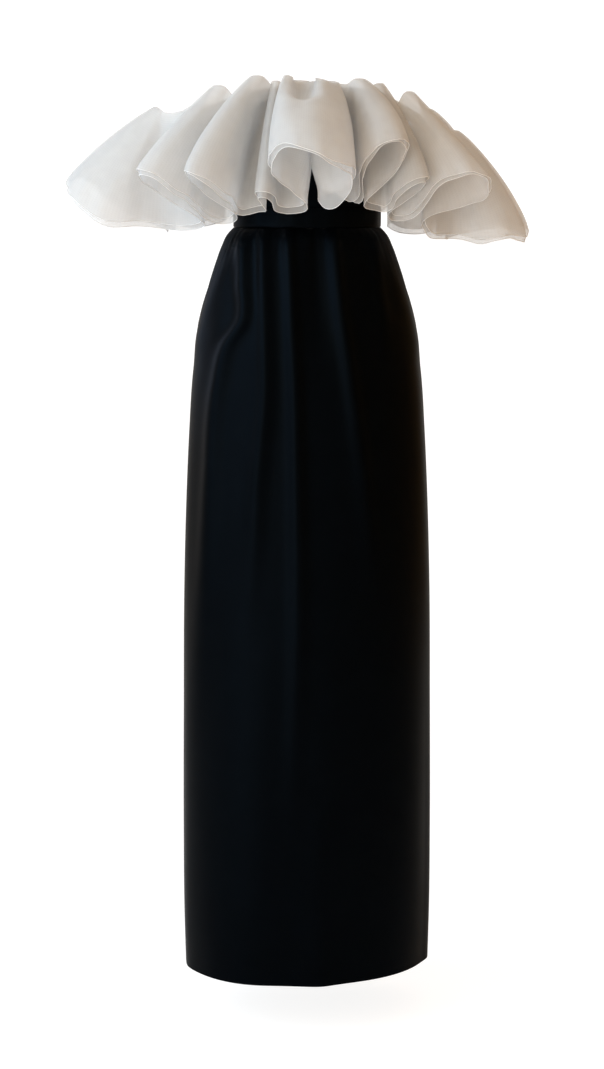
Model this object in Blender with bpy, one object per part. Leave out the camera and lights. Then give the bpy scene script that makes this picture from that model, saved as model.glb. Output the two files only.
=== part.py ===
"""Off-the-shoulder dress with a long black skirt and a wide fluted white frill.

Metres, +Z up, front towards -Y. The origin is the middle of the waist, where the dress is held.
Angles run round the body from the front centre towards +X.
"""

import math

import bpy
import numpy as np

# Walls and seams
CLOTH_WALL = 0.0015
BAND_WALL = 0.0020
FRILL_WALL = 0.0011
SEAM_GAP = 0.0004
HALF_SEAM = SEAM_GAP / 2

# Waist
BAND_HEIGHT = 0.030
BAND_HALF_WIDTH = 0.1085
BAND_FRONT = 0.0890
BAND_BACK = 0.0860
BAND_POWER = 2.1
BAND_COLUMNS = 52

# Skirt
SKIRT_TOP = -BAND_HEIGHT / 2 - SEAM_GAP
HEM_Z = -1.130
SKIRT_COLUMNS = ("z", "half_width", "front", "back", "left_power", "right_power")
SKIRT_RINGS = (
    (-0.0154, 0.1080, 0.0885, 0.0855, 2.1, 2.1),
    (-0.0230, 0.1155, 0.0935, 0.0900, 2.1, 2.1),
    (-0.0430, 0.1260, 0.1010, 0.0990, 2.1, 2.1),
    (-0.0660, 0.1345, 0.1070, 0.1080, 2.1, 2.1),
    (-0.0920, 0.1430, 0.1120, 0.1180, 2.1, 2.1),
    (-0.1370, 0.1545, 0.1180, 0.1300, 2.1, 2.1),
    (-0.1810, 0.1630, 0.1220, 0.1360, 2.1, 2.1),
    (-0.2250, 0.1690, 0.1240, 0.1380, 2.1, 2.1),
    (-0.3150, 0.1755, 0.1270, 0.1350, 2.1, 2.1),
    (-0.4050, 0.1800, 0.1290, 0.1310, 2.1, 2.1),
    (-0.5420, 0.1845, 0.1320, 0.1310, 2.1, 2.0),
    (-0.7270, 0.1868, 0.1350, 0.1330, 2.2, 1.9),
    (-0.9140, 0.1884, 0.1380, 0.1350, 2.3, 1.8),
    (-1.0500, 0.1882, 0.1390, 0.1360, 2.4, 1.7),
    (-1.1300, 0.1865, 0.1400, 0.1370, 2.4, 1.65),
)
FRONT_COLUMNS = 34
BACK_COLUMNS = 11
FRONT_ROWS = (
    -0.0154, -0.023, -0.036, -0.056, -0.080, -0.105, -0.130, -0.155, -0.182, -0.212, -0.250,
    -0.295, -0.345, -0.405, -0.475, -0.550, -0.635, -0.730, -0.830, -0.930, -1.035, HEM_Z,
)
BACK_ROWS = (
    -0.0154, -0.023, -0.043, -0.070, -0.105, -0.150, -0.200, -0.265,
    -0.345, -0.450, -0.600, -0.780, -0.960, HEM_Z,
)

# Soft folds of the skirt: how far they stand out, how wide they are, where they start and fade,
# and where they lie across the front at each of FOLD_HEIGHTS
FOLD_HEIGHTS = (-0.02, -0.09, -0.15, -0.18, -0.24, -0.38, -0.48, -0.62, -0.81, -1.02)
FOLD_COLUMNS = ("rise", "width", "start", "fade", "path")
FRONT_FOLDS = (
    (0.0075, 0.010, -0.030, -0.85,
     (-0.0900, -0.0916, -0.0935, -0.1130, -0.1285, -0.1407, -0.1470, -0.158, -0.172, -0.178)),
    (0.0065, 0.009, -0.014, -0.68,
     (-0.0623, -0.0615, -0.0605, -0.0600, -0.0600, -0.0722, -0.0788, -0.0923, -0.105, -0.110)),
    (0.0070, 0.009, -0.014, -1.04,
     (-0.0269, -0.0235, -0.0213, -0.0200, -0.0172, -0.0144, -0.0131, -0.0131, -0.0192, -0.0255)),
    (-0.0060, 0.013, -0.012, -0.26,
     (0.0130, 0.0150, 0.0180, 0.0200, 0.0220, 0.0250, 0.0260, 0.027, 0.028, 0.028)),
    (0.0075, 0.009, -0.014, -0.60,
     (0.0382, 0.0440, 0.0505, 0.0550, 0.0635, 0.0815, 0.0922, 0.103, 0.112, 0.116)),
    (0.0035, 0.008, -0.040, -0.24,
     (0.0940, 0.1015, 0.1100, 0.1140, 0.1200, 0.1300, 0.1350, 0.140, 0.145, 0.150)),
)
BACK_FOLDS = (
    (0.0050, 0.010, -0.014, -0.52,
     (0.0400, 0.0440, 0.0480, 0.0500, 0.0540, 0.0620, 0.0680, 0.074, 0.078, 0.080)),
    (0.0045, 0.010, -0.014, -0.40,
     (0.0780, 0.0860, 0.0920, 0.0950, 0.1000, 0.1100, 0.1150, 0.120, 0.124, 0.126)),
)

# A fold swells over FOLD_ONSET below its start, already FOLD_AT_START of the way there, and
# dies away over the last FOLD_FADING of its length, FOLD_WIDENING wider by then
FOLD_ONSET = 0.05
FOLD_AT_START = 0.55
FOLD_FADING = 0.6
FOLD_WIDENING = 0.9
SEAM_CALM = 0.30
SIDE_BLEND = 0.35

# Slanted pocket mouths
POCKET_TOP_ANGLE = math.radians(59.0)
POCKET_END_Z = -0.160
POCKET_LAP = 0.012
POCKET_LIFT = 0.0024
POCKET_LIFT_EDGE = 1.6 * POCKET_LAP
POCKET_LIFT_REACH = 0.045
POCKET_LIFT_DROP = 0.012
POCKET_LIFT_FADE = 0.05
FACING_ROWS = (-0.0154, -0.023, -0.043, -0.066, -0.092, -0.118, -0.144, -0.168)
FACING_COLUMNS = 5

# Bodice
BODICE_COLUMNS = ("z", "half_width", "front", "back")
BODICE_RINGS = (
    (0.0154, 0.1068, 0.0880, 0.0850),
    (0.0400, 0.1110, 0.0930, 0.0875),
    (0.0650, 0.1190, 0.1020, 0.0920),
    (0.0900, 0.1290, 0.1110, 0.0980),
    (0.1150, 0.1390, 0.1170, 0.1040),
    (0.1400, 0.1470, 0.1180, 0.1080),
    (0.1650, 0.1520, 0.1145, 0.1090),
    (0.1900, 0.1540, 0.1110, 0.1080),
)
BODICE_POWER = 2.3
BODICE_TOP_ANGLES = (0, 35, 55, 75, 90, 105, 125, 150, 180)
BODICE_TOP_HEIGHTS = (0.170, 0.170, 0.160, 0.138, 0.126, 0.130, 0.146, 0.158, 0.160)
BODICE_BANDS = 7
BODICE_FRONT_COLUMNS = 20
BODICE_BACK_COLUMNS = 10

# Neckline round the bodice and over both arms
BINDING_HEIGHT = 0.018
BINDING_DROP = 0.004
BINDING_FOOT = 0.163
BINDING_OFF = 0.0008
BINDING_STEP = math.radians(1.0)
ARM_HALF_WIDTH = 0.204
ARM_HALF_DEPTH = 0.128
ARM_POWER = 2.5
LEAVES_BODICE = math.radians(24.0)
REACHES_ARM = math.radians(66.0)

# Frill: one row for each flute and for the valley that follows it, all the way round.
# Angles in degrees, lengths in metres. "neck" columns are at the neckline, "hem" ones at the hem.
# reach and valley_reach are the distances from the body's axis, mouth the width of the flute's
# mouth, throat the opening between its two walls where they turn back, tilt how much higher its
# right side hangs than its left, sag how soon its hem drops away beside the crest, and arch how
# soon it swings out below the neckline.
FLUTE_COLUMNS = (
    "neck_angle", "neck_z", "neck_out", "neck_mouth", "neck_throat",
    "hem_angle", "reach", "hem_z", "mouth", "throat", "tilt", "sag", "arch",
    "valley_neck", "valley_neck_z", "valley_angle", "valley_reach", "valley_z", "columns",
)
FLUTES = (
    (-167, 0.174, 0.012, 0.030, 0.038, -167, 0.272, 0.044, 0.070, 0.030, 0.000, 1.0, 1.7,
     -154, 0.162, -154, 0.165, 0.004, 9),
    (-142, 0.174, 0.012, 0.034, 0.042, -142, 0.280, 0.040, 0.074, 0.034, 0.000, 1.0, 1.7,
     -129, 0.158, -129, 0.185, -0.004, 9),
    (-117, 0.156, 0.012, 0.036, 0.046, -117, 0.298, 0.036, 0.080, 0.040, 0.000, 1.2, 1.6,
     -104, 0.146, -106, 0.225, -0.018, 9),
    (-87, 0.158, 0.014, 0.070, 0.090, -89, 0.345, 0.054, 0.122, 0.070, -0.044, 3.0, 1.25,
     -65.5, 0.150, -64, 0.171, -0.008, 13),
    (-47.5, 0.184, 0.014, 0.032, 0.048, -56, 0.280, 0.066, 0.056, 0.032, 0.000, 1.2, 1.15,
     -37, 0.180, -46, 0.152, 0.000, 12),
    (-29.5, 0.197, 0.016, 0.022, 0.028, -37, 0.266, 0.062, 0.052, 0.014, -0.014, 1.2, 1.3,
     -24.5, 0.186, -26, 0.158, 0.016, 10),
    (-20, 0.190, 0.007, 0.009, 0.011, -19, 0.196, 0.036, 0.024, 0.018, 0.000, 1.0, 1.3,
     -15.5, 0.186, -11, 0.150, 0.014, 6),
    (2, 0.196, 0.032, 0.072, 0.005, 1, 0.272, 0.106, 0.116, 0.018, -0.026, 1.2, 1.8,
     22, 0.186, 17, 0.150, 0.014, 16),
    (31, 0.193, 0.012, 0.018, 0.024, 30, 0.250, 0.106, 0.062, 0.012, 0.000, 1.0, 1.5,
     37.5, 0.184, 38, 0.158, 0.018, 10),
    (41.5, 0.187, 0.009, 0.012, 0.018, 45, 0.232, 0.056, 0.034, 0.014, 0.000, 1.0, 1.3,
     45.8, 0.178, 52, 0.154, 0.004, 8),
    (53.5, 0.176, 0.009, 0.030, 0.042, 58, 0.294, 0.053, 0.070, 0.038, -0.040, 0.7, 1.1,
     69.5, 0.130, 71, 0.186, -0.020, 13),
    (87, 0.124, 0.013, 0.060, 0.078, 94, 0.320, -0.018, 0.116, 0.056, 0.026, 1.4, 1.35,
     104, 0.120, 108, 0.225, -0.028, 12),
    (117, 0.160, 0.012, 0.036, 0.046, 118, 0.298, 0.022, 0.078, 0.040, 0.000, 1.0, 1.6,
     129, 0.148, 130, 0.185, -0.016, 9),
    (142, 0.172, 0.012, 0.034, 0.042, 142, 0.282, 0.034, 0.074, 0.034, 0.000, 1.0, 1.7,
     155, 0.160, 155, 0.165, -0.004, 9),
    (167, 0.174, 0.012, 0.030, 0.038, 168, 0.272, 0.044, 0.070, 0.030, 0.000, 1.0, 1.7,
     180, 0.162, 180, 0.158, 0.004, 9),
)
# Across and along a flute's mouth, as shares of its width and reach, and the share of its height
MOUTH_COLUMNS = ("side", "out", "height")
MOUTH_SHAPE = (
    (-0.50, 0.08, 0.10),
    (-1.00, 0.56, 0.62),
    (-0.66, 0.92, 0.94),
    (0.00, 1.04, 1.00),
    (0.66, 0.92, 0.94),
    (1.00, 0.56, 0.62),
    (0.50, 0.08, 0.10),
)
THROAT_FAR = 0.3
CURVE_FINE = 24
OUTER_ROWS = (0.0, 0.14, 0.32, 0.52, 0.76, 1.0)
UNDER_ROWS = (0.0, 0.14, 0.32, 0.52, 0.76, 1.045)
LAYER_GAP_NECK = 0.0019
LAYER_GAP_HEM = 0.0045
LAYERS_PART = 1.5
NECK_CLEAR = 0.0017
ROOT_CLEAR = 0.002
# The frill keeps clear of the binding over the first BINDING_SHARE of its length
SWING_CLEAR = 0.0014
SWING_SHARE = 0.14
BINDING_SHARE = 0.35
# Its arch is half as strong beside the valleys, it drops a little later where it arches more,
# and past the hem line it hangs nearly straight down
LATE_DROP = 0.35
HANG_OUT = 0.12
LEVEL_SHARE = 0.25
FINE_SHARES = np.linspace(0, 1.1, 45)


def column(table, names, wanted):
    """One named column of a table, as an array."""
    return np.array([row[names.index(wanted)] for row in table], dtype=float)


def eased(where, places, values):
    """Value at a place between rows, on a smooth curve through them."""
    places = np.asarray(places, dtype=float)
    values = np.asarray(values, dtype=float)
    if places[0] > places[-1]:
        places, values = places[::-1], values[::-1]
    slopes = np.gradient(values, places)
    spot = np.clip(where, places[0], places[-1])
    index = np.clip(np.searchsorted(places, spot, side="right") - 1, 0, len(places) - 2)
    width = places[index + 1] - places[index]
    part = (spot - places[index]) / width
    rest = 1 - part
    return (
        values[index] * (1 + 2 * part) * rest**2
        + values[index + 1] * part**2 * (3 - 2 * part)
        + slopes[index] * width * part * rest**2
        - slopes[index + 1] * width * part**2 * rest
    )


def smooth_step(value):
    """Ease from 0 to 1."""
    value = np.clip(value, 0.0, 1.0)
    return value * value * (3 - 2 * value)


def oval(angle, half_width, half_depth, power):
    """Point of a rounded oval and its outward direction, both level."""
    sine = np.sin(angle)
    cosine = np.cos(angle)
    across = np.sign(sine) * np.abs(sine) ** (2 / power)
    along = -np.sign(cosine) * np.abs(cosine) ** (2 / power)
    facing = np.stack([
        np.sign(across) * np.abs(across) ** (power - 1) / half_width,
        np.sign(along) * np.abs(along) ** (power - 1) / half_depth,
    ], axis=-1)
    facing /= np.linalg.norm(facing, axis=-1, keepdims=True)
    return np.stack([across * half_width, along * half_depth], axis=-1), facing


def side_seam(half_depth, power):
    """Angle from the front or back centre to half a seam gap short of the side."""
    return math.acos((HALF_SEAM / half_depth) ** (power / 2))


def back_seam(half_width, power):
    """Angle from the side to half a seam gap short of the back centre."""
    return math.pi - math.asin((HALF_SEAM / half_width) ** (power / 2))


def cloth(name, colour, roughness):
    """Plain material of one cloth."""
    material = bpy.data.materials.new(name)
    material.use_nodes = True
    shader = material.node_tree.nodes["Principled BSDF"]
    shader.inputs["Base Color"].default_value = (*colour, 1.0)
    shader.inputs["Roughness"].default_value = roughness
    shader.inputs["Metallic"].default_value = 0.0
    material.diffuse_color = (*colour, 1.0)
    return material


def wall(name, outer, inner, material, closed=False):
    """Close the space between an outer and an inner grid of points into one body."""
    rows, columns = outer.shape[:2]
    points = np.concatenate([outer.reshape(-1, 3), inner.reshape(-1, 3)])
    shift = rows * columns
    faces = []
    for row in range(rows - 1):
        for start in range(columns if closed else columns - 1):
            end = (start + 1) % columns
            high_left = row * columns + start
            high_right = row * columns + end
            low_left = high_left + columns
            low_right = high_right + columns
            # The same diagonal on both sides keeps the wall even
            faces.append((high_left, low_left, low_right))
            faces.append((high_left, low_right, high_right))
            faces.append((high_left + shift, low_right + shift, low_left + shift))
            faces.append((high_left + shift, high_right + shift, low_right + shift))
    last = (rows - 1) * columns
    for start in range(columns if closed else columns - 1):
        end = (start + 1) % columns
        faces.append((start, end, end + shift, start + shift))
        faces.append((last + start, last + start + shift, last + end + shift, last + end))
    if not closed:
        for row in range(rows - 1):
            left = row * columns
            right = left + columns - 1
            faces.append((left, left + shift, left + columns + shift, left + columns))
            faces.append((right, right + columns, right + columns + shift, right + shift))
    mesh = bpy.data.meshes.new(name)
    mesh.from_pydata([tuple(point) for point in points], [], faces)
    mesh.materials.append(material)
    mesh.shade_smooth()
    mesh.set_sharp_from_angle(angle=math.radians(50))
    body = bpy.data.objects.new(name, mesh)
    bpy.context.scene.collection.objects.link(body)
    return body


def skirt_sizes(height):
    """Half width, front and back depth and the two powers of the skirt's ring at a height."""
    places = column(SKIRT_RINGS, SKIRT_COLUMNS, "z")
    return [float(eased(height, places, column(SKIRT_RINGS, SKIRT_COLUMNS, name)))
            for name in SKIRT_COLUMNS[1:]]


def skirt_base(angle, height):
    """Point on the smooth skirt and its outward direction."""
    half_width, front, back, left_power, right_power = skirt_sizes(height)
    turn = smooth_step((math.sin(angle) + SIDE_BLEND) / (2 * SIDE_BLEND))
    power = left_power + (right_power - left_power) * turn
    depth = front if math.cos(angle) >= 0 else back
    return oval(np.array(angle), half_width, depth, power)


def folds(across, height, table):
    """How far the soft folds stand out from the skirt at one spot."""
    total = 0.0
    for rise, width, start, fade, path in table:
        middle = float(eased(height, FOLD_HEIGHTS, path))
        run = start - fade
        grown = smooth_step((start - height) / FOLD_ONSET + FOLD_AT_START)
        left = smooth_step((height - fade) / (FOLD_FADING * run))
        spread = width * (1 + FOLD_WIDENING * (start - height) / run)
        total += rise * grown * left * math.exp(-(((across - middle) / spread) ** 2))
    return total


def pocket_angle(height):
    """Angle of the pocket mouth at a height; the side seam below its end."""
    share = min(1.0, (SKIRT_TOP - height) / (SKIRT_TOP - POCKET_END_Z))
    return POCKET_TOP_ANGLE + (math.pi / 2 - POCKET_TOP_ANGLE) * share


def pocket_lift(angle, height):
    """How far the front stands out over the pocket facing."""
    depth = skirt_sizes(height)[1]
    inside = (pocket_angle(height) - abs(angle)) * depth
    near = 1 - smooth_step((inside - POCKET_LIFT_EDGE) / POCKET_LIFT_REACH)
    below = 1 - smooth_step((POCKET_END_Z - POCKET_LIFT_DROP - height) / POCKET_LIFT_FADE)
    return POCKET_LIFT * near * below


def skirt_grid(rows, columns, reach_left, reach_right, rise):
    """Outer and inner points of one skirt panel between two seams."""
    outer = np.zeros((len(rows), columns + 1, 3))
    inner = np.zeros_like(outer)
    for i, height in enumerate(rows):
        left, right = reach_left(height), reach_right(height)
        for j in range(columns + 1):
            angle = left + (right - left) * j / columns
            spot, facing = skirt_base(angle, height)
            lift = rise(angle, spot[0], height)
            outer[i, j] = (*(spot + facing * lift), height)
            inner[i, j] = (*(spot + facing * (lift - CLOTH_WALL)), height)
    return outer, inner


def front_edge(height):
    """Angle of the skirt front's right edge: the pocket mouth, then the side seam."""
    front, _, power = skirt_sizes(height)[1:4]
    return min(pocket_angle(height), side_seam(front, power))


def build_skirt(black, facing_black):
    """Skirt front, two backs and the two pocket facings."""
    def front_rise(angle, across, height):
        edge = smooth_step((math.pi / 2 - abs(angle)) / SEAM_CALM)
        return edge * folds(across, height, FRONT_FOLDS) + pocket_lift(angle, height)

    def back_rise(angle, across, height):
        edge = smooth_step((abs(angle) - math.pi / 2) / SEAM_CALM)
        return edge * folds(abs(across), height, BACK_FOLDS)

    def no_rise(angle, across, height):
        return 0.0

    def back_start(height):
        _, _, back, left_power, right_power = skirt_sizes(height)
        return math.pi - side_seam(back, max(left_power, right_power))

    def back_end(height):
        half_width, _, _, left_power, right_power = skirt_sizes(height)
        return back_seam(half_width, (left_power + right_power) / 2)

    def facing_start(height):
        return pocket_angle(height) - POCKET_LAP / skirt_sizes(height)[1]

    def facing_end(height):
        front, _, power = skirt_sizes(height)[1:4]
        return side_seam(front, power)

    wall("skirt_front", *skirt_grid(
        FRONT_ROWS, FRONT_COLUMNS, lambda z: -front_edge(z), front_edge, front_rise), black)
    wall("skirt_back_right", *skirt_grid(
        BACK_ROWS, BACK_COLUMNS, lambda z: -back_end(z), lambda z: -back_start(z), back_rise), black)
    wall("skirt_back_left", *skirt_grid(
        BACK_ROWS, BACK_COLUMNS, back_start, back_end, back_rise), black)
    wall("pocket_facing_right", *skirt_grid(
        FACING_ROWS, FACING_COLUMNS, lambda z: -facing_end(z), lambda z: -facing_start(z), no_rise),
        facing_black)
    wall("pocket_facing_left", *skirt_grid(
        FACING_ROWS, FACING_COLUMNS, facing_start, facing_end, no_rise), facing_black)


def build_waistband(black):
    """Straight band round the waist."""
    outer = np.zeros((2, BAND_COLUMNS, 3))
    inner = np.zeros_like(outer)
    for j in range(BAND_COLUMNS):
        angle = 2 * math.pi * j / BAND_COLUMNS
        depth = BAND_FRONT if math.cos(angle) >= 0 else BAND_BACK
        spot, facing = oval(np.array(angle), BAND_HALF_WIDTH, depth, BAND_POWER)
        for i, height in enumerate((BAND_HEIGHT / 2, -BAND_HEIGHT / 2)):
            outer[i, j] = (*spot, height)
            inner[i, j] = (*(spot - facing * BAND_WALL), height)
    wall("waistband", outer, inner, black, closed=True)


def bodice_point(angle, height):
    """Point on the bodice and its outward direction."""
    places = column(BODICE_RINGS, BODICE_COLUMNS, "z")
    sizes = [float(eased(height, places, column(BODICE_RINGS, BODICE_COLUMNS, name)))
             for name in BODICE_COLUMNS[1:]]
    depth = sizes[1] if math.cos(angle) >= 0 else sizes[2]
    return oval(np.array(angle), sizes[0], depth, BODICE_POWER)


def build_bodice(black):
    """Bodice front and two backs, high in front and behind, low under the arms."""
    base = BAND_HEIGHT / 2 + SEAM_GAP
    side = side_seam(BODICE_RINGS[0][2], BODICE_POWER)
    behind = back_seam(BODICE_RINGS[0][1], BODICE_POWER)
    panels = (
        ("bodice_front", -side, side, BODICE_FRONT_COLUMNS),
        ("bodice_back_right", -behind, side - math.pi, BODICE_BACK_COLUMNS),
        ("bodice_back_left", math.pi - side, behind, BODICE_BACK_COLUMNS),
    )
    for name, left, right, columns in panels:
        outer = np.zeros((BODICE_BANDS + 1, columns + 1, 3))
        inner = np.zeros_like(outer)
        for j in range(columns + 1):
            angle = left + (right - left) * j / columns
            top = float(eased(abs(math.degrees(angle)), BODICE_TOP_ANGLES, BODICE_TOP_HEIGHTS))
            for i in range(BODICE_BANDS + 1):
                height = top + (base - top) * i / BODICE_BANDS
                spot, facing = bodice_point(angle, height)
                outer[i, j] = (*spot, height)
                inner[i, j] = (*(spot - facing * CLOTH_WALL), height)
        wall(name, outer, inner, black)


def polar_reach(angle, half_width, half_depth, power):
    """Distance from the axis to an oval in a direction."""
    across = np.abs(np.sin(angle)) / half_width
    along = np.abs(np.cos(angle)) / half_depth
    return (across**power + along**power) ** (-1 / power)


def neckline_reach(angle):
    """Distance from the axis to the outside of the neck binding."""
    height = BINDING_FOOT
    places = column(BODICE_RINGS, BODICE_COLUMNS, "z")
    width = eased(height, places, column(BODICE_RINGS, BODICE_COLUMNS, "half_width"))
    front = eased(height, places, column(BODICE_RINGS, BODICE_COLUMNS, "front"))
    back = eased(height, places, column(BODICE_RINGS, BODICE_COLUMNS, "back"))
    depth = np.where(np.cos(angle) >= 0, front, back)
    close = polar_reach(angle, width, depth, BODICE_POWER) + BINDING_OFF + CLOTH_WALL
    wide = polar_reach(angle, ARM_HALF_WIDTH, ARM_HALF_DEPTH, ARM_POWER)
    turn = np.abs(np.arctan2(np.sin(angle), np.cos(angle)))
    turn = np.minimum(turn, math.pi - turn)
    away = smooth_step((turn - LEAVES_BODICE) / (REACHES_ARM - LEAVES_BODICE))
    return close + (np.maximum(wide, close) - close) * away


def level(angle, reach):
    """Point in a level plane from its angle and distance from the axis."""
    return np.stack([reach * np.sin(angle), -reach * np.cos(angle)], axis=-1)


def closed_curve(points, fine):
    """Dense points of a smooth closed curve through the given ones, fine of them per span."""
    ahead = np.roll(points, -1, axis=0)
    after = np.roll(points, -2, axis=0)
    before = np.roll(points, 1, axis=0)
    first = np.sqrt(np.linalg.norm(points - before, axis=1))[:, None]
    middle = np.sqrt(np.linalg.norm(ahead - points, axis=1))[:, None]
    last = np.sqrt(np.linalg.norm(after - ahead, axis=1))[:, None]
    leaving = middle * (
        (points - before) / first - (ahead - before) / (first + middle) + (ahead - points) / middle)
    arriving = middle * (
        (ahead - points) / middle - (after - points) / (middle + last) + (after - ahead) / last)
    spans = []
    for part in np.arange(fine) / fine:
        rest = 1 - part
        spans.append(
            points * (1 + 2 * part) * rest**2 + ahead * part**2 * (3 - 2 * part)
            + leaving * part * rest**2 - arriving * part**2 * rest)
    return np.stack(spans, axis=1).reshape(-1, points.shape[1])


def turn_between(first, second):
    """Middle of two directions in degrees, going round from the first to the second."""
    return first + ((second - first) % 360) / 2


def section(middle, base, crest_angle, crest_reach, mouth, throat):
    """Level points of one flute's section, from its root on the body side out to its crest."""
    root = level(np.radians(middle), base)
    crest = level(np.radians(crest_angle), crest_reach)
    out = crest - root
    across = np.array([-out[1], out[0]]) / np.linalg.norm(out)
    return [root + out * far + across * side * (throat if far < THROAT_FAR else mouth / 2)
            for side, far, high in MOUTH_SHAPE]


def frill_curves():
    """Smooth closed curves of the hem and of the neckline, with the same points along both."""
    hem, neck = [], []
    for index, row in enumerate(FLUTES):
        flute = dict(zip(FLUTE_COLUMNS, row))
        before = dict(zip(FLUTE_COLUMNS, FLUTES[index - 1]))
        base = (before["valley_reach"] + flute["valley_reach"]) / 2 + ROOT_CLEAR
        low = (before["valley_z"] + flute["valley_z"]) / 2
        middle = turn_between(before["valley_angle"], flute["valley_angle"])
        spots = section(middle, base, flute["hem_angle"], flute["reach"], flute["mouth"],
                        flute["throat"])
        for spot, (side, far, high) in zip(spots, MOUTH_SHAPE):
            share = high ** flute["sag"]
            lean = flute["tilt"] * side / 2 * high
            hem.append((*spot, low + (flute["hem_z"] - low) * share + lean))
        valley = level(np.radians(flute["valley_angle"]), flute["valley_reach"])
        hem.append((*valley, flute["valley_z"]))
        near = float(neckline_reach(np.radians(flute["neck_angle"]))) + NECK_CLEAR
        low = (before["valley_neck_z"] + flute["valley_neck_z"]) / 2
        spots = section(flute["neck_angle"], near, flute["neck_angle"], near + flute["neck_out"],
                        flute["neck_mouth"], flute["neck_throat"])
        for spot, (side, far, high) in zip(spots, MOUTH_SHAPE):
            neck.append((*spot, low + (flute["neck_z"] - low) * high))
        turn = np.radians(flute["valley_neck"])
        valley = level(turn, float(neckline_reach(turn)) + NECK_CLEAR)
        neck.append((*valley, flute["valley_neck_z"]))
    return closed_curve(np.array(hem), CURVE_FINE), closed_curve(np.array(neck), CURVE_FINE)


def frill_columns():
    """Hem point, neckline point and arch of every column of the frill, all the way round."""
    hem, neck = frill_curves()
    angles = np.arctan2(neck[:, 0], -neck[:, 1])
    reach = np.hypot(neck[:, 0], neck[:, 1])
    reach = np.maximum(reach, neckline_reach(angles) + NECK_CLEAR)
    neck[:, :2] = level(angles, reach)
    per_flute = (len(MOUTH_SHAPE) + 1) * CURVE_FINE
    hems, necks, arches = [], [], []
    for index, row in enumerate(FLUTES):
        flute = dict(zip(FLUTE_COLUMNS, row))
        spots = index * per_flute - CURVE_FINE + np.arange(per_flute + 1)
        run = np.take(hem, spots, axis=0, mode="wrap")
        top = np.take(neck, spots, axis=0, mode="wrap")
        length = np.concatenate([[0], np.cumsum(np.linalg.norm(np.diff(run, axis=0), axis=1))])
        for step in range(int(flute["columns"])):
            share = step / flute["columns"]
            along = share * length[-1]
            hems.append([np.interp(along, length, run[:, axis]) for axis in range(3)])
            necks.append([np.interp(along, length, top[:, axis]) for axis in range(3)])
            rise = 0.5 + 0.5 * math.sin(math.pi * share) ** 2
            arches.append(1.0 + (flute["arch"] - 1.0) * rise)
    return np.array(hems), np.array(necks), np.array(arches)


def frill_surface(shares):
    """Grid of points of the frill, one row per share of its length, and its outward directions."""
    hems, necks, arches = frill_columns()

    def points(share):
        past = 1 + HANG_OUT * (share - 1)
        out = np.where(share < 1, 1 - np.abs(1 - share) ** arches, past)
        down = share ** (1 + LATE_DROP * (arches - 1))
        grid = necks.copy()
        grid[:, :2] += (hems - necks)[:, :2] * out[:, None]
        grid[:, 2] += (hems - necks)[:, 2] * down
        if share < BINDING_SHARE:
            angles = np.arctan2(grid[:, 0], -grid[:, 1])
            swing = SWING_CLEAR * min(share / SWING_SHARE, 1)
            clear = neckline_reach(angles) + NECK_CLEAR + swing
            grid[:, :2] = level(angles, np.maximum(np.hypot(grid[:, 0], grid[:, 1]), clear))
        return grid

    dense = np.array([points(share) for share in FINE_SHARES])
    along = np.gradient(dense, axis=0)
    around = (np.roll(dense, -1, axis=1) - np.roll(dense, 1, axis=1)) / 2
    facing = np.cross(-along, -around)
    facing /= np.linalg.norm(facing, axis=2, keepdims=True) + 1e-12
    grid = np.array([points(share) for share in shares])
    picked = np.array([
        [[np.interp(share, FINE_SHARES, facing[:, j, axis]) for axis in range(3)]
         for j in range(dense.shape[1])] for share in shares])
    picked /= np.linalg.norm(picked, axis=2, keepdims=True)
    return grid, picked


def build_frill(white):
    """Outer and under layer of the frill."""
    outer, facing = frill_surface(OUTER_ROWS)
    share = np.array(OUTER_ROWS)[:, None, None]
    lifted = outer + level_out(facing, share) * LAYER_GAP_NECK
    wall("ruffle_outer", lifted, lifted - level_out(facing, share) * FRILL_WALL, white, closed=True)
    under, facing = frill_surface(UNDER_ROWS)
    share = np.array(UNDER_ROWS)[:, None, None]
    parted = (LAYER_GAP_HEM - LAYER_GAP_NECK) * np.minimum(share * LAYERS_PART, 1)
    inward = level_out(facing, share) * parted
    sunk = under - inward
    wall("ruffle_under", sunk, sunk - level_out(facing, share) * FRILL_WALL, white, closed=True)


def level_out(facing, share):
    """Outward directions of the frill: level at the neckline, square to the cloth below it."""
    flat = facing.copy()
    flat[..., 2] = 0
    flat /= np.linalg.norm(flat, axis=-1, keepdims=True)
    turned = flat + (facing - flat) * np.minimum(share / LEVEL_SHARE, 1)
    return turned / np.linalg.norm(turned, axis=-1, keepdims=True)


def build_binding(white):
    """Narrow band inside the top of the frill."""
    necks = frill_columns()[1]
    angles = np.sort(np.arctan2(necks[:, 0], -necks[:, 1]))
    spaced = np.concatenate([[True], np.diff(angles) > BINDING_STEP])
    chosen = angles[spaced]
    marks = sorted(
        (row[FLUTE_COLUMNS.index("valley_neck")], row[FLUTE_COLUMNS.index("valley_neck_z")])
        for row in FLUTES)
    places = np.array([mark[0] for mark in marks])
    heights = np.array([mark[1] for mark in marks])
    places = np.concatenate([[places[-1] - 360], places, [places[0] + 360]])
    heights = np.concatenate([[heights[-1]], heights, [heights[0]]])
    top = np.interp(np.degrees(chosen), places, heights) - BINDING_DROP
    reach = neckline_reach(chosen)
    outer = np.zeros((2, len(chosen), 3))
    inner = np.zeros_like(outer)
    for i in range(2):
        outer[i] = np.column_stack([level(chosen, reach), top - BINDING_HEIGHT * i])
        inner[i] = np.column_stack([level(chosen, reach - CLOTH_WALL), top - BINDING_HEIGHT * i])
    wall("neck_binding", outer, inner, white, closed=True)


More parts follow.
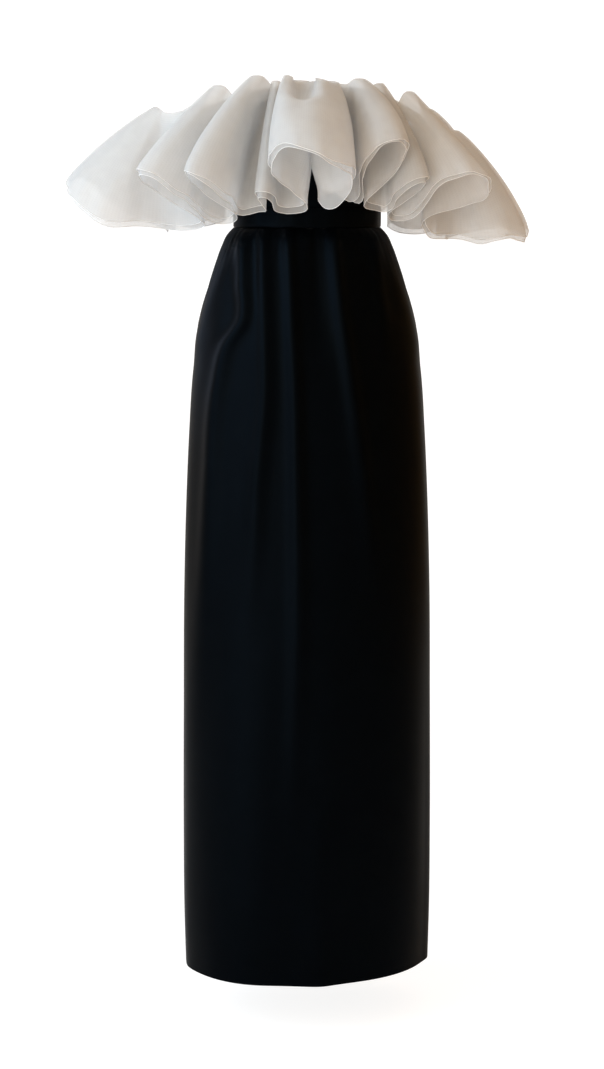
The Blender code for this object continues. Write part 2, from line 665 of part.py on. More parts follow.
def main():
    """Clear the scene and build every piece."""
    for item in list(bpy.data.objects):
        bpy.data.objects.remove(item)
    white = cloth("white organza", (0.78, 0.77, 0.76), 0.65)
    black = cloth("black crepe", (0.006, 0.007, 0.010), 0.45)
    facing_black = cloth("black facing", (0.012, 0.013, 0.017), 0.5)
    build_skirt(black, facing_black)
    build_waistband(black)
    build_bodice(black)
    build_binding(white)
    build_frill(white)


if __name__ == "__main__":
    main()
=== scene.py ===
"""Looks of an off-the-shoulder dress: black crepe skirt and bodice, and a wide fluted frill of two
layers of white organza.

Metres, +Z up, front towards -Y. The origin is the middle of the waistband. Angles run round the
body from the front centre towards +X.
"""

import sys

import logging
import math
from collections.abc import Callable
from dataclasses import dataclass
from enum import Enum
from typing import NamedTuple

import bpy
import numpy as np
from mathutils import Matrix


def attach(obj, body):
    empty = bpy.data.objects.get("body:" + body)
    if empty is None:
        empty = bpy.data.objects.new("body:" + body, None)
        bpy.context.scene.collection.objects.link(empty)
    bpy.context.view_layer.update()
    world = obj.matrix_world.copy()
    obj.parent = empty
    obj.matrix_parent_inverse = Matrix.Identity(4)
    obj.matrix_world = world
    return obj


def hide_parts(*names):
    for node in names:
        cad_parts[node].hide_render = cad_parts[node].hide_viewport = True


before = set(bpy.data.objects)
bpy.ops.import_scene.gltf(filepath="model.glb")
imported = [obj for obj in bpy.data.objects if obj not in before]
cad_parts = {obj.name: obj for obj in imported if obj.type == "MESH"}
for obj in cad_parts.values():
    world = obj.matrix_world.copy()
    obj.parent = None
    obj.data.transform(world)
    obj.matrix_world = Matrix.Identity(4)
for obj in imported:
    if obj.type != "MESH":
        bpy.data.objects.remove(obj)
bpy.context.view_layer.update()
LOG = logging.getLogger("dress")
Points = np.ndarray
Socket = bpy.types.NodeSocket
Rise = Callable[[Points, Points, Points], Points]

# Wall of the cloth, as in the solids, and the angles where its panels meet
CLOTH_WALL = 0.0015
SIDE_SEAM = math.pi / 2
BACK_SEAM = math.pi


class Cloth(Enum):
    """The record's material slots."""

    CREPE = "black_crepe"
    FACING = "facing_crepe"
    TAPE = "white_binding"
    ORGANZA = "white_organza"


class Held(Enum):
    """How a sheet of cloth is held."""

    HUNG = "hung"
    GATHERED = "gathered"
    STRETCHED = "stretched"


class SkirtRing(NamedTuple):
    """One level section of the skirt."""

    z: float
    half_width: float
    front: float
    back: float
    left_power: float
    right_power: float


SKIRT_RINGS = (
    SkirtRing(-0.0154, 0.1080, 0.0885, 0.0855, 2.1, 2.1),
    SkirtRing(-0.0230, 0.1155, 0.0935, 0.0900, 2.1, 2.1),
    SkirtRing(-0.0430, 0.1260, 0.1010, 0.0990, 2.1, 2.1),
    SkirtRing(-0.0660, 0.1345, 0.1070, 0.1080, 2.1, 2.1),
    SkirtRing(-0.0920, 0.1430, 0.1120, 0.1180, 2.1, 2.1),
    SkirtRing(-0.1370, 0.1545, 0.1180, 0.1300, 2.1, 2.1),
    SkirtRing(-0.1810, 0.1630, 0.1220, 0.1360, 2.1, 2.1),
    SkirtRing(-0.2250, 0.1690, 0.1240, 0.1380, 2.1, 2.1),
    SkirtRing(-0.3150, 0.1755, 0.1270, 0.1350, 2.1, 2.1),
    SkirtRing(-0.4050, 0.1800, 0.1290, 0.1310, 2.1, 2.1),
    SkirtRing(-0.5420, 0.1845, 0.1320, 0.1310, 2.1, 2.0),
    SkirtRing(-0.7270, 0.1868, 0.1350, 0.1330, 2.2, 1.9),
    SkirtRing(-0.9140, 0.1884, 0.1380, 0.1350, 2.3, 1.8),
    SkirtRing(-1.0500, 0.1882, 0.1390, 0.1360, 2.4, 1.7),
    SkirtRing(-1.1300, 0.1865, 0.1400, 0.1370, 2.4, 1.65),
)


class Fold(NamedTuple):
    """A soft fold of the skirt: how far it stands out, how wide it is, where it starts and fades,
    and where it lies across at each of FOLD_HEIGHTS."""

    rise: float
    width: float
    start: float
    fade: float
    path: tuple[float, ...]


FOLD_HEIGHTS = (-0.02, -0.09, -0.15, -0.18, -0.24, -0.38, -0.48, -0.62, -0.81, -1.02)
FRONT_FOLDS = (
    Fold(0.0075, 0.010, -0.030, -0.85,
         (-0.0900, -0.0916, -0.0935, -0.1130, -0.1285, -0.1407, -0.1470, -0.158, -0.172, -0.178)),
    Fold(0.0065, 0.009, -0.014, -0.68,
         (-0.0623, -0.0615, -0.0605, -0.0600, -0.0600, -0.0722, -0.0788, -0.0923, -0.105, -0.110)),
    Fold(0.0070, 0.009, -0.014, -1.04,
         (-0.0269, -0.0235, -0.0213, -0.0200, -0.0172, -0.0144, -0.0131, -0.0131, -0.0192, -0.0255)),
    Fold(-0.0060, 0.013, -0.012, -0.26,
         (0.0130, 0.0150, 0.0180, 0.0200, 0.0220, 0.0250, 0.0260, 0.027, 0.028, 0.028)),
    Fold(0.0075, 0.009, -0.014, -0.60,
         (0.0382, 0.0440, 0.0505, 0.0550, 0.0635, 0.0815, 0.0922, 0.103, 0.112, 0.116)),
    Fold(0.0035, 0.008, -0.040, -0.24,
         (0.0940, 0.1015, 0.1100, 0.1140, 0.1200, 0.1300, 0.1350, 0.140, 0.145, 0.150)),
)
BACK_FOLDS = (
    Fold(0.0050, 0.010, -0.014, -0.52,
         (0.0400, 0.0440, 0.0480, 0.0500, 0.0540, 0.0620, 0.0680, 0.074, 0.078, 0.080)),
    Fold(0.0045, 0.010, -0.014, -0.40,
         (0.0780, 0.0860, 0.0920, 0.0950, 0.1000, 0.1100, 0.1150, 0.120, 0.124, 0.126)),
)


class BodiceRing(NamedTuple):
    """One level section of the bodice."""

    z: float
    half_width: float
    front: float
    back: float


BODICE_RINGS = (
    BodiceRing(0.0154, 0.1068, 0.0880, 0.0850),
    BodiceRing(0.0400, 0.1110, 0.0930, 0.0875),
    BodiceRing(0.0650, 0.1190, 0.1020, 0.0920),
    BodiceRing(0.0900, 0.1290, 0.1110, 0.0980),
    BodiceRing(0.1150, 0.1390, 0.1170, 0.1040),
    BodiceRing(0.1400, 0.1470, 0.1180, 0.1080),
    BodiceRing(0.1650, 0.1520, 0.1145, 0.1090),
    BodiceRing(0.1900, 0.1540, 0.1110, 0.1080),
)
BODICE_POWER = 2.3
BODICE_TOP_ANGLES = (0, 35, 55, 75, 90, 105, 125, 150, 180)
BODICE_TOP_HEIGHTS = (0.170, 0.170, 0.160, 0.138, 0.126, 0.130, 0.146, 0.158, 0.160)

# Neckline round the bodice and over both arms
BINDING_FOOT = 0.163
BINDING_OFF = 0.0008
ARM_HALF_WIDTH = 0.204
ARM_HALF_DEPTH = 0.128
ARM_POWER = 2.5
LEAVES_BODICE = math.radians(24.0)
REACHES_ARM = math.radians(66.0)


class Flute(NamedTuple):
    """One flute of the frill and the valley that follows it. Angles in degrees."""

    neck_angle: float
    neck_z: float
    neck_out: float
    neck_mouth: float
    neck_throat: float
    hem_angle: float
    reach: float
    hem_z: float
    mouth: float
    throat: float
    tilt: float
    sag: float
    arch: float
    valley_neck: float
    valley_neck_z: float
    valley_angle: float
    valley_reach: float
    valley_z: float
    columns: int


FLUTES = (
    Flute(-167, 0.174, 0.012, 0.030, 0.038, -167, 0.272, 0.044, 0.070, 0.030, 0.000, 1.0, 1.7,
          -154, 0.162, -154, 0.165, 0.004, 9),
    Flute(-142, 0.174, 0.012, 0.034, 0.042, -142, 0.280, 0.040, 0.074, 0.034, 0.000, 1.0, 1.7,
          -129, 0.158, -129, 0.185, -0.004, 9),
    Flute(-117, 0.156, 0.012, 0.036, 0.046, -117, 0.298, 0.036, 0.080, 0.040, 0.000, 1.2, 1.6,
          -104, 0.146, -106, 0.225, -0.018, 9),
    Flute(-87, 0.158, 0.014, 0.070, 0.090, -89, 0.345, 0.054, 0.122, 0.070, -0.044, 3.0, 1.25,
          -65.5, 0.150, -64, 0.171, -0.008, 13),
    Flute(-47.5, 0.184, 0.014, 0.032, 0.048, -56, 0.280, 0.066, 0.056, 0.032, 0.000, 1.2, 1.15,
          -37, 0.180, -46, 0.152, 0.000, 12),
    Flute(-29.5, 0.197, 0.016, 0.022, 0.028, -37, 0.266, 0.062, 0.052, 0.014, -0.014, 1.2, 1.3,
          -24.5, 0.186, -26, 0.158, 0.016, 10),
    Flute(-20, 0.190, 0.007, 0.009, 0.011, -19, 0.196, 0.036, 0.024, 0.018, 0.000, 1.0, 1.3,
          -15.5, 0.186, -11, 0.150, 0.014, 6),
    Flute(2, 0.196, 0.032, 0.072, 0.005, 1, 0.272, 0.106, 0.116, 0.018, -0.026, 1.2, 1.8,
          22, 0.186, 17, 0.150, 0.014, 16),
    Flute(31, 0.193, 0.012, 0.018, 0.024, 30, 0.250, 0.106, 0.062, 0.012, 0.000, 1.0, 1.5,
          37.5, 0.184, 38, 0.158, 0.018, 10),
    Flute(41.5, 0.187, 0.009, 0.012, 0.018, 45, 0.232, 0.056, 0.034, 0.014, 0.000, 1.0, 1.3,
          45.8, 0.178, 52, 0.154, 0.004, 8),
    Flute(53.5, 0.176, 0.009, 0.030, 0.042, 58, 0.294, 0.053, 0.070, 0.038, -0.040, 0.7, 1.1,
          69.5, 0.130, 71, 0.186, -0.020, 13),
    Flute(87, 0.124, 0.013, 0.060, 0.078, 94, 0.320, -0.018, 0.116, 0.056, 0.026, 1.4, 1.35,
          104, 0.120, 108, 0.225, -0.028, 12),
    Flute(117, 0.160, 0.012, 0.036, 0.046, 118, 0.298, 0.022, 0.078, 0.040, 0.000, 1.0, 1.6,
          129, 0.148, 130, 0.185, -0.016, 9),
    Flute(142, 0.172, 0.012, 0.034, 0.042, 142, 0.282, 0.034, 0.074, 0.034, 0.000, 1.0, 1.7,
          155, 0.160, 155, 0.165, -0.004, 9),
    Flute(167, 0.174, 0.012, 0.030, 0.038, 168, 0.272, 0.044, 0.070, 0.030, 0.000, 1.0, 1.7,
          180, 0.162, 180, 0.158, 0.004, 9),
)


class MouthPoint(NamedTuple):
    """A point of a flute's mouth, as shares of its width, its reach and its height."""

    side: float
    out: float
    height: float


MOUTH_SHAPE = (
    MouthPoint(-0.50, 0.08, 0.10),
    MouthPoint(-1.00, 0.56, 0.62),
    MouthPoint(-0.66, 0.92, 0.94),
    MouthPoint(0.00, 1.04, 1.00),
    MouthPoint(0.66, 0.92, 0.94),
    MouthPoint(1.00, 0.56, 0.62),
    MouthPoint(0.50, 0.08, 0.10),
)
CURVE_FINE = 24
LAYER_GAP_NECK = 0.0019
LAYER_GAP_HEM = 0.0045
NECK_CLEAR = 0.0017
SWING_CLEAR = 0.0014
BINDING_SHARE = 0.35


class Crease(NamedTuple):
    """A soft crease of the frill.

    spot is the flute's number and the share of its run where the crease starts, drift how far its
    foot lies beside that, width its half width in the same measure, rise how far it stands out,
    and top and foot the shares of the frill's length between which it lies.
    """

    spot: float
    drift: float
    width: float
    rise: float
    top: float
    foot: float


CREASES = (
    Crease(3.50, 0.06, 0.012, 0.0030, 0.66, 1.12),
    Crease(3.53, -0.02, 0.009, -0.0026, 0.72, 1.12),
    Crease(3.56, 0.05, 0.010, 0.0030, 0.70, 1.14),
    Crease(3.60, -0.04, 0.009, -0.0024, 0.76, 1.14),
    Crease(3.63, 0.03, 0.011, 0.0028, 0.74, 1.14),
    Crease(3.67, -0.03, 0.010, -0.0022, 0.78, 1.14),
    Crease(3.72, -0.04, 0.016, 0.0024, 0.60, 1.05),
    Crease(3.78, 0.03, 0.030, -0.0018, 0.20, 0.90),
    Crease(3.90, 0.02, 0.026, 0.0020, 0.05, 0.70),
    Crease(4.22, 0.04, 0.030, -0.0016, 0.10, 0.85),
    Crease(4.58, -0.05, 0.026, 0.0018, 0.20, 1.00),
    Crease(5.30, 0.02, 0.024, -0.0012, 0.05, 0.60),
    Crease(5.62, 0.05, 0.030, 0.0014, 0.25, 1.00),
    Crease(7.14, 0.02, 0.016, -0.0018, 0.05, 0.80),
    Crease(7.26, -0.02, 0.020, 0.0016, 0.10, 0.90),
    Crease(7.46, 0.03, 0.020, -0.0012, 0.02, 0.55),
    Crease(7.475, 0.00, 0.050, -0.0165, -0.16, 0.42),
    Crease(7.35, 0.01, 0.020, 0.0026, -0.10, 0.50),
    Crease(7.550, 0.00, 0.022, 0.0038, -0.05, 0.42),
    Crease(7.72, 0.02, 0.018, 0.0014, 0.10, 0.80),
    Crease(8.40, 0.04, 0.040, 0.0016, 0.20, 1.05),
    Crease(8.66, -0.03, 0.036, -0.0014, 0.10, 0.90),
    Crease(10.34, 0.05, 0.026, -0.0014, 0.15, 0.85),
    Crease(10.62, -0.04, 0.030, 0.0016, 0.20, 0.95),
    Crease(11.20, 0.03, 0.020, 0.0034, 0.02, 1.02),
    Crease(11.29, 0.02, 0.018, -0.0028, 0.08, 0.95),
    Crease(11.38, 0.02, 0.022, 0.0030, 0.10, 1.05),
    Crease(11.52, 0.01, 0.026, -0.0020, 0.10, 0.90),
)


class Wave(NamedTuple):
    """A place where an edge of the frill rises or drops: its spot, half width and rise."""

    spot: float
    width: float
    rise: float


HEM_WAVES = (
    Wave(3.00, 0.035, 0.016),
    Wave(3.52, 0.08, -0.007),
    Wave(3.80, 0.09, 0.010),
    Wave(4.66, 0.06, -0.004),
    Wave(5.30, 0.05, 0.003),
    Wave(5.70, 0.05, -0.004),
    Wave(7.36, 0.05, -0.005),
    Wave(7.49, 0.085, -0.014),
    Wave(7.57, 0.050, -0.012),
    Wave(7.63, 0.050, -0.010),
    Wave(7.95, 0.070, 0.029),
    Wave(8.30, 0.05, -0.003),
    Wave(10.30, 0.05, 0.003),
    Wave(10.62, 0.06, -0.004),
    Wave(11.22, 0.05, -0.006),
    Wave(11.34, 0.03, 0.003),
    Wave(11.44, 0.04, -0.004),
    Wave(12.00, 0.035, 0.014),
)
UNDER_WAVES = (
    Wave(3.45, 0.08, 0.006),
    Wave(4.40, 0.07, -0.004),
    Wave(5.50, 0.08, 0.005),
    Wave(7.28, 0.06, -0.005),
    Wave(7.52, 0.07, 0.004),
    Wave(7.85, 0.120, -0.0175),
    Wave(8.02, 0.050, 0.018),
    Wave(8.45, 0.08, 0.004),
    Wave(10.50, 0.09, 0.005),
    Wave(11.30, 0.08, 0.004),
)
NECK_WAVES = (
    Wave(7.46, 0.045, -0.008),
    Wave(7.33, 0.030, 0.003),
    Wave(7.64, 0.110, -0.009),
)
# A patch beside the front opening is crushed
CRUSHED_SPOT = 8.06
CRUSHED_WIDTH = 0.075
CRUSHED_RISE = 0.0013
# The two walls beside the front opening close up above its foot
SLIT_SPOT = 7.5
SLIT_WALLS = (0.25, 0.75)
SLIT_MIDDLE = 0.0040
SLIT_HALF_WIDTH = 0.016
SLIT_REACH = 0.185
SLIT_PINCH = 0.88
SLIT_FADE = 0.32
# The flutes that the photograph hides have creases like those that it shows
PLAIN_FLUTES = (0, 1, 2, 12, 13, 14)
PLAIN_SHIFT = 0.03
# Share of the flute's run, way of the shift, and the rest of the crease
PLAIN_CREASES = (
    (0.26, 1, 0.03, 0.026, 0.0020, 0.10, 0.95),
    (0.47, -1, -0.04, 0.030, -0.0018, 0.25, 1.05),
    (0.73, 1, 0.02, 0.024, 0.0018, 0.05, 0.80),
)
# Gathers at the neckline and ripples along the hem
GATHER_PITCH = 0.0105
GATHER_RISE = 0.0010
GATHER_FADE = 0.13
RIPPLE_PITCH = 0.034
RIPPLE_RISE = 0.0014
RIPPLE_START = 0.72


def column(rows: tuple, name: str) -> Points:
    """One named column of a table.

    Args:
        rows: The table, a tuple of named rows.
        name: The column's name.

    Returns:
        The column as an array.
    """
    return np.array([getattr(row, name) for row in rows], dtype=float)


def eased(where: Points | float, places: Points, values: Points) -> Points:
    """Values between given places, on a smooth curve through them.

    Args:
        where: The places asked for.
        places: The places with known values, in order.
        values: The known values.

    Returns:
        The value at each place asked for.
    """
    places = np.asarray(places, dtype=float)
    values = np.asarray(values, dtype=float)
    if places[0] > places[-1]:
        places = places[::-1]
        values = values[::-1]
    slopes = np.gradient(values, places)
    spot = np.clip(where, places[0], places[-1])
    index = np.clip(np.searchsorted(places, spot, side="right") - 1, 0, len(places) - 2)
    width = places[index + 1] - places[index]
    part = (spot - places[index]) / width
    rest = 1 - part
    return (
        values[index] * (1 + 2 * part) * rest**2
        + values[index + 1] * part**2 * (3 - 2 * part)
        + slopes[index] * width * part * rest**2
        - slopes[index + 1] * width * part**2 * rest
    )


def smooth_step(value: Points | float) -> Points:
    """Ease from 0 to 1, clamped outside."""
    value = np.clip(value, 0.0, 1.0)
    return value * value * (3 - 2 * value)


def round_gap(places: Points, spot: Points | float) -> Points:
    """How far each place on the frill's run lies from a spot, the shorter way round."""
    return (places - spot + len(FLUTES) / 2) % len(FLUTES) - len(FLUTES) / 2


def lift(places: Points, waves: tuple[Wave, ...]) -> Points:
    """How far the waves of an edge raise it at each place on its run."""
    return sum(wave.rise * np.exp(-((round_gap(places, wave.spot) / wave.width) ** 2)) for wave in waves)


def hump(share: Points | float, top: float, foot: float) -> Points:
    """A soft window that is 1 in the middle of a stretch and 0 outside it."""
    part = (np.asarray(share) - top) / (foot - top)
    return smooth_step(4 * part) * smooth_step(4 * (1 - part))


def oval(angle: Points, half_width: Points, half_depth: Points, power: Points) -> tuple[Points, Points]:
    """Points of rounded ovals and their outward directions, all level.

    Args:
        angle: Directions from the axis, in radians.
        half_width: Half widths of the ovals.
        half_depth: Half depths of the ovals.
        power: How square the ovals are; 2 is an ellipse.

    Returns:
        The points and the outward directions.
    """
    sine = np.sin(angle)
    cosine = np.cos(angle)
    across = np.sign(sine) * np.abs(sine) ** (2 / power)
    along = -np.sign(cosine) * np.abs(cosine) ** (2 / power)
    facing = np.stack([
        np.sign(across) * np.abs(across) ** (power - 1) / half_width,
        np.sign(along) * np.abs(along) ** (power - 1) / half_depth,
    ], axis=-1)
    facing /= np.linalg.norm(facing, axis=-1, keepdims=True)
    return np.stack([across * half_width, along * half_depth], axis=-1), facing


def level(angle: Points, reach: Points) -> Points:
    """Points in a level plane from their angles and distances from the axis."""
    return np.stack([reach * np.sin(angle), -reach * np.cos(angle)], axis=-1)


def heading(points: Points) -> tuple[Points, Points]:
    """Angles of points round the axis and their distances from it."""
    return np.arctan2(points[..., 0], -points[..., 1]), np.hypot(points[..., 0], points[..., 1])


def standing(level_points: Points, height: Points) -> Points:
    """Level points lifted to their heights."""
    tops = np.broadcast_to(height, level_points.shape[:-1])[..., None]
    return np.concatenate([level_points, tops], axis=-1)


def raised(spot: Points, facing: Points, off: Points, height: Points) -> Points:
    """Level points moved outwards and lifted to their heights."""
    return standing(spot + facing * off[..., None], height)


def round_angles(count: int) -> Points:
    """Even angles all the way round."""
    return np.arange(count) * math.tau / count


def lengths_round(line: Points) -> Points:
    """Length of a closed line up to the point after each of its points."""
    return np.cumsum(np.linalg.norm(np.diff(line, axis=0, append=line[:1]), axis=1))


def depth_towards(angle: Points, front: Points, back: Points) -> Points:
    """Half depth in some directions: one in front and another behind."""
    return np.where(np.cos(angle) >= 0, front, back)


def ring_sizes(rings: tuple, height: Points | float) -> list[Points]:
    """Sizes of a table's level sections at some heights, in the order of its columns."""
    places = column(rings, "z")
    return [eased(height, places, column(rings, name)) for name in rings[0]._fields[1:]]


def both_sides(start: Points | float, end: Points | float) -> tuple:
    """Side, left edge and right edge of a panel on the wearer's left and of its mirror image."""
    return (("left", start, end), ("right", -end, -start))


def linked(name: str, data: bpy.types.ID) -> bpy.types.Object:
    """A new object in the scene."""
    made = bpy.data.objects.new(name, data)
    bpy.context.scene.collection.objects.link(made)
    return made


def shell(name: str, outer: Points, inner: Points, cut: Points, finish: bpy.types.Material,
          closed: bool = False) -> bpy.types.Object:
    """A thin closed wall of cloth between an outer and an inner grid of points.

    Args:
        name: The piece's name.
        outer: Grid of points of the right side, rows from the top down.
        inner: The same grid of the wrong side.
        cut: Grid of the places on the flat cloth in metres, for the weave. One column more than
            the points where the wall is closed.
        finish: The cloth's material.
        closed: True where the last column meets the first.

    Returns:
        The new object, with faces that point outwards.
    """
    rows, columns = outer.shape[:2]
    spans = columns if closed else columns - 1
    row, start = (part.ravel() for part in np.meshgrid(
        np.arange(rows - 1), np.arange(spans), indexing="ij"))
    rim = np.arange(spans)
    edge = np.arange(rows - 1)

    def faces_of(*corners: tuple) -> Points:
        """Faces from the row, column and side of each corner."""
        return np.stack([np.stack(np.broadcast_arrays(*corner), axis=-1) for corner in corners], axis=1)

    parts = [
        faces_of((row, start, 0), (row + 1, start, 0), (row + 1, start + 1, 0), (row, start + 1, 0)),
        faces_of((row, start, 1), (row, start + 1, 1), (row + 1, start + 1, 1), (row + 1, start, 1)),
        faces_of((0, rim, 0), (0, rim + 1, 0), (0, rim + 1, 1), (0, rim, 1)),
        faces_of((rows - 1, rim, 0), (rows - 1, rim, 1), (rows - 1, rim + 1, 1), (rows - 1, rim + 1, 0)),
    ]
    if not closed:
        last = columns - 1
        parts.append(faces_of((edge, 0, 0), (edge, 0, 1), (edge + 1, 0, 1), (edge + 1, 0, 0)))
        parts.append(faces_of((edge, last, 0), (edge + 1, last, 0), (edge + 1, last, 1), (edge, last, 1)))
    corners = np.concatenate(parts)
    numbers = corners[..., 2] * rows * columns + corners[..., 0] * columns + corners[..., 1] % columns
    points = np.concatenate([outer.reshape(-1, 3), inner.reshape(-1, 3)])
    mesh = bpy.data.meshes.new(name)
    mesh.from_pydata(points.tolist(), [], numbers.tolist())
    places = mesh.uv_layers.new(name="cut")
    places.data.foreach_set("uv", cut[corners[..., 0], corners[..., 1]].astype(np.float32).ravel())
    mesh.materials.append(finish)
    mesh.shade_smooth()
    mesh.set_sharp_from_angle(angle=math.radians(60))
    return linked(name, mesh)


def laid_out(points: Points, closed: bool = False) -> Points:
    """Places on the flat cloth of a grid of points.

    Args:
        points: Grid of points, rows from the top down.
        closed: True where the last column meets the first.

    Returns:
        A grid of widths and lengths in metres, one column more where it is closed.
    """
    around = np.concatenate([points, points[:, :1]], axis=1) if closed else points
    middle = around[len(around) // 2]
    across = np.concatenate([[0], np.cumsum(np.linalg.norm(np.diff(middle, axis=0), axis=1))])
    down = np.zeros(around.shape[:2])
    down[1:] = np.cumsum(np.linalg.norm(np.diff(around, axis=0), axis=2), axis=0)
    return np.stack([np.broadcast_to(across, down.shape), down], axis=-1)


def hand_over(piece: bpy.types.Object, cloth: Cloth, *nodes: str) -> bpy.types.Object:
    """Hang a piece on the root body and hide the solids that it stands for.

    Args:
        piece: The finished piece.
        cloth: The record's slot for the piece; not used.
        nodes: The solids that it stands for.

    Returns:
        The same piece.
    """
    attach(piece, "root")
    if nodes:
        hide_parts(*nodes)
    LOG.info("%s: %d faces", piece.name, len(piece.data.polygons))
    return piece


class Wiring:
    """Short ways to build a material's or a tree's nodes."""

    def __init__(self, tree: bpy.types.NodeTree) -> None:
        """Keep the tree and clear it."""
        self.tree = tree
        tree.nodes.clear()

    def add(self, kind: str, **settings: object) -> bpy.types.Node:
        """Add a node.

        Args:
            kind: Blender's name for the kind of node.
            settings: The node's properties.

        Returns:
            The new node.
        """
        node = self.tree.nodes.new(kind)
        for name, value in settings.items():
            setattr(node, name, value)
        return node

    def feed(self, node: bpy.types.Node, **values: object) -> bpy.types.Node:
        """Set a node's inputs, each to a value or from another node's output.

        Args:
            node: The node.
            values: Inputs by name, with _ for a space; a number after the name picks an input by
                its place, as in_0.

        Returns:
            The same node.
        """
        for name, value in values.items():
            if name.startswith("in_"):
                socket = node.inputs[int(name[3:])]
            else:
                socket = node.inputs[name.replace("_", " ")]
            if isinstance(value, bpy.types.NodeSocket):
                self.tree.links.new(value, socket)
            else:
                socket.default_value = value
        return node

    def take(self, kind: str, output: str | int, **values: object) -> Socket:
        """One output of a new node.

        Args:
            kind: Blender's name for the kind of node.
            output: The output's name or place.
            values: The node's inputs, as in feed.

        Returns:
            The output.
        """
        return self.feed(self.add(kind), **values).outputs[output]

    def math(self, operation: str, *values: object) -> Socket:
        """Output of a math node.

        Args:
            operation: Blender's name for the operation.
            values: Its values or sockets, in order.

        Returns:
            The result's socket.
        """
        node = self.add("ShaderNodeMath", operation=operation)
        return self.feed(node, **{f"in_{place}": value for place, value in enumerate(values)}).outputs[0]

    def noise(self, place: Socket, **values: float) -> Socket:
        """A cloudy pattern."""
        return self.take("ShaderNodeTexNoise", "Fac", Vector=place, **values)

    def bands(self, direction: str, place: Socket, **values: float) -> Socket:
        """Soft bands across a direction."""
        node = self.add("ShaderNodeTexWave", bands_direction=direction)
        return self.feed(node, Vector=place, **values).outputs["Fac"]

    def bump(self, strength: float, distance: float, height: Socket, **values: Socket) -> Socket:
        """A normal that follows a height."""
        return self.take("ShaderNodeBump", "Normal", Strength=strength, Distance=distance,
                         Height=height, **values)

    def face(self, colour: tuple | Socket, roughness: Socket, normal: Socket,
             **values: object) -> Socket:
        """A surface of a colour, a roughness and a relief."""
        return self.take("ShaderNodeBsdfPrincipled", "BSDF", Base_Color=colour, Roughness=roughness,
                         Normal=normal, **values)

    def mix(self, share: float | Socket, first: Socket, second: Socket) -> Socket:
        """Two surfaces or two lights mixed."""
        return self.take("ShaderNodeMixShader", "Shader", in_0=share, in_1=first, in_2=second)

    def plain(self, kind: str, colour: tuple[float, float, float]) -> Socket:
        """A surface of one colour and nothing else."""
        return self.take("ShaderNodeBsdf" + kind, "BSDF", Color=(*colour, 1))

    def place(self) -> Socket:
        """The place on the piece."""
        return self.add("ShaderNodeTexCoord").outputs["Object"]

    def cut(self) -> Socket:
        """The place on the flat cloth."""
        return self.add("ShaderNodeUVMap", uv_map="cut").outputs["UV"]

    def camera_ray(self) -> Socket:
        """1 where the camera looks, 0 for light."""
        return self.add("ShaderNodeLightPath").outputs["Is Camera Ray"]

    def end(self, surface: Socket, kind: str = "ShaderNodeOutputMaterial") -> None:
        """Lead the surface to the output."""
        self.feed(self.add(kind), Surface=surface)


def new_material(name: str) -> tuple[bpy.types.Material, Wiring]:
    """An empty material with nodes and its wiring."""
    material = bpy.data.materials.new(name)
    material.use_nodes = True
    return material, Wiring(material.node_tree)


@dataclass(frozen=True)
class Crepe:
    """Matt black crepe with a fine pebbled grain and a faint cool sheen."""

    name: str = "black crepe"
    colour: tuple[float, float, float] = (0.0003, 0.0004, 0.0006)
    light: tuple[float, float, float] = (0.0008, 0.0012, 0.0018)
    cool: tuple[float, float, float] = (0.50, 0.74, 1.0)
    sheen: float = 0.003
    shine: float = 0.034
    roughness: float = 0.37
    grain: float = 1500.0
    depth: float = 0.00012

    def make(self) -> bpy.types.Material:
        """Build the material."""
        material, wires = new_material(self.name)
        place = wires.place()
        pebble = wires.noise(place, Scale=self.grain, Detail=2.0)
        slub = wires.noise(place, Scale=26.0, Detail=4.0)
        flat = wires.bands("Z", place, Scale=260.0, Distortion=2.5, Detail=2.0)
        tint = wires.feed(wires.add("ShaderNodeMix", data_type="RGBA"), in_0=slub,
                          in_6=(*self.colour, 1), in_7=(*self.light, 1)).outputs[2]
        bump = wires.bump(0.6, self.depth, wires.math("MULTIPLY_ADD", flat, 0.25, pebble))
        rough = wires.math("MULTIPLY_ADD", pebble, 0.16, self.roughness - 0.08)
        wires.end(wires.face(tint, rough, bump, Sheen_Weight=self.sheen, Sheen_Roughness=0.42,
                             Sheen_Tint=(*self.cool, 1), Specular_IOR_Level=self.shine,
                             Specular_Tint=(*self.cool, 1)))
        return material


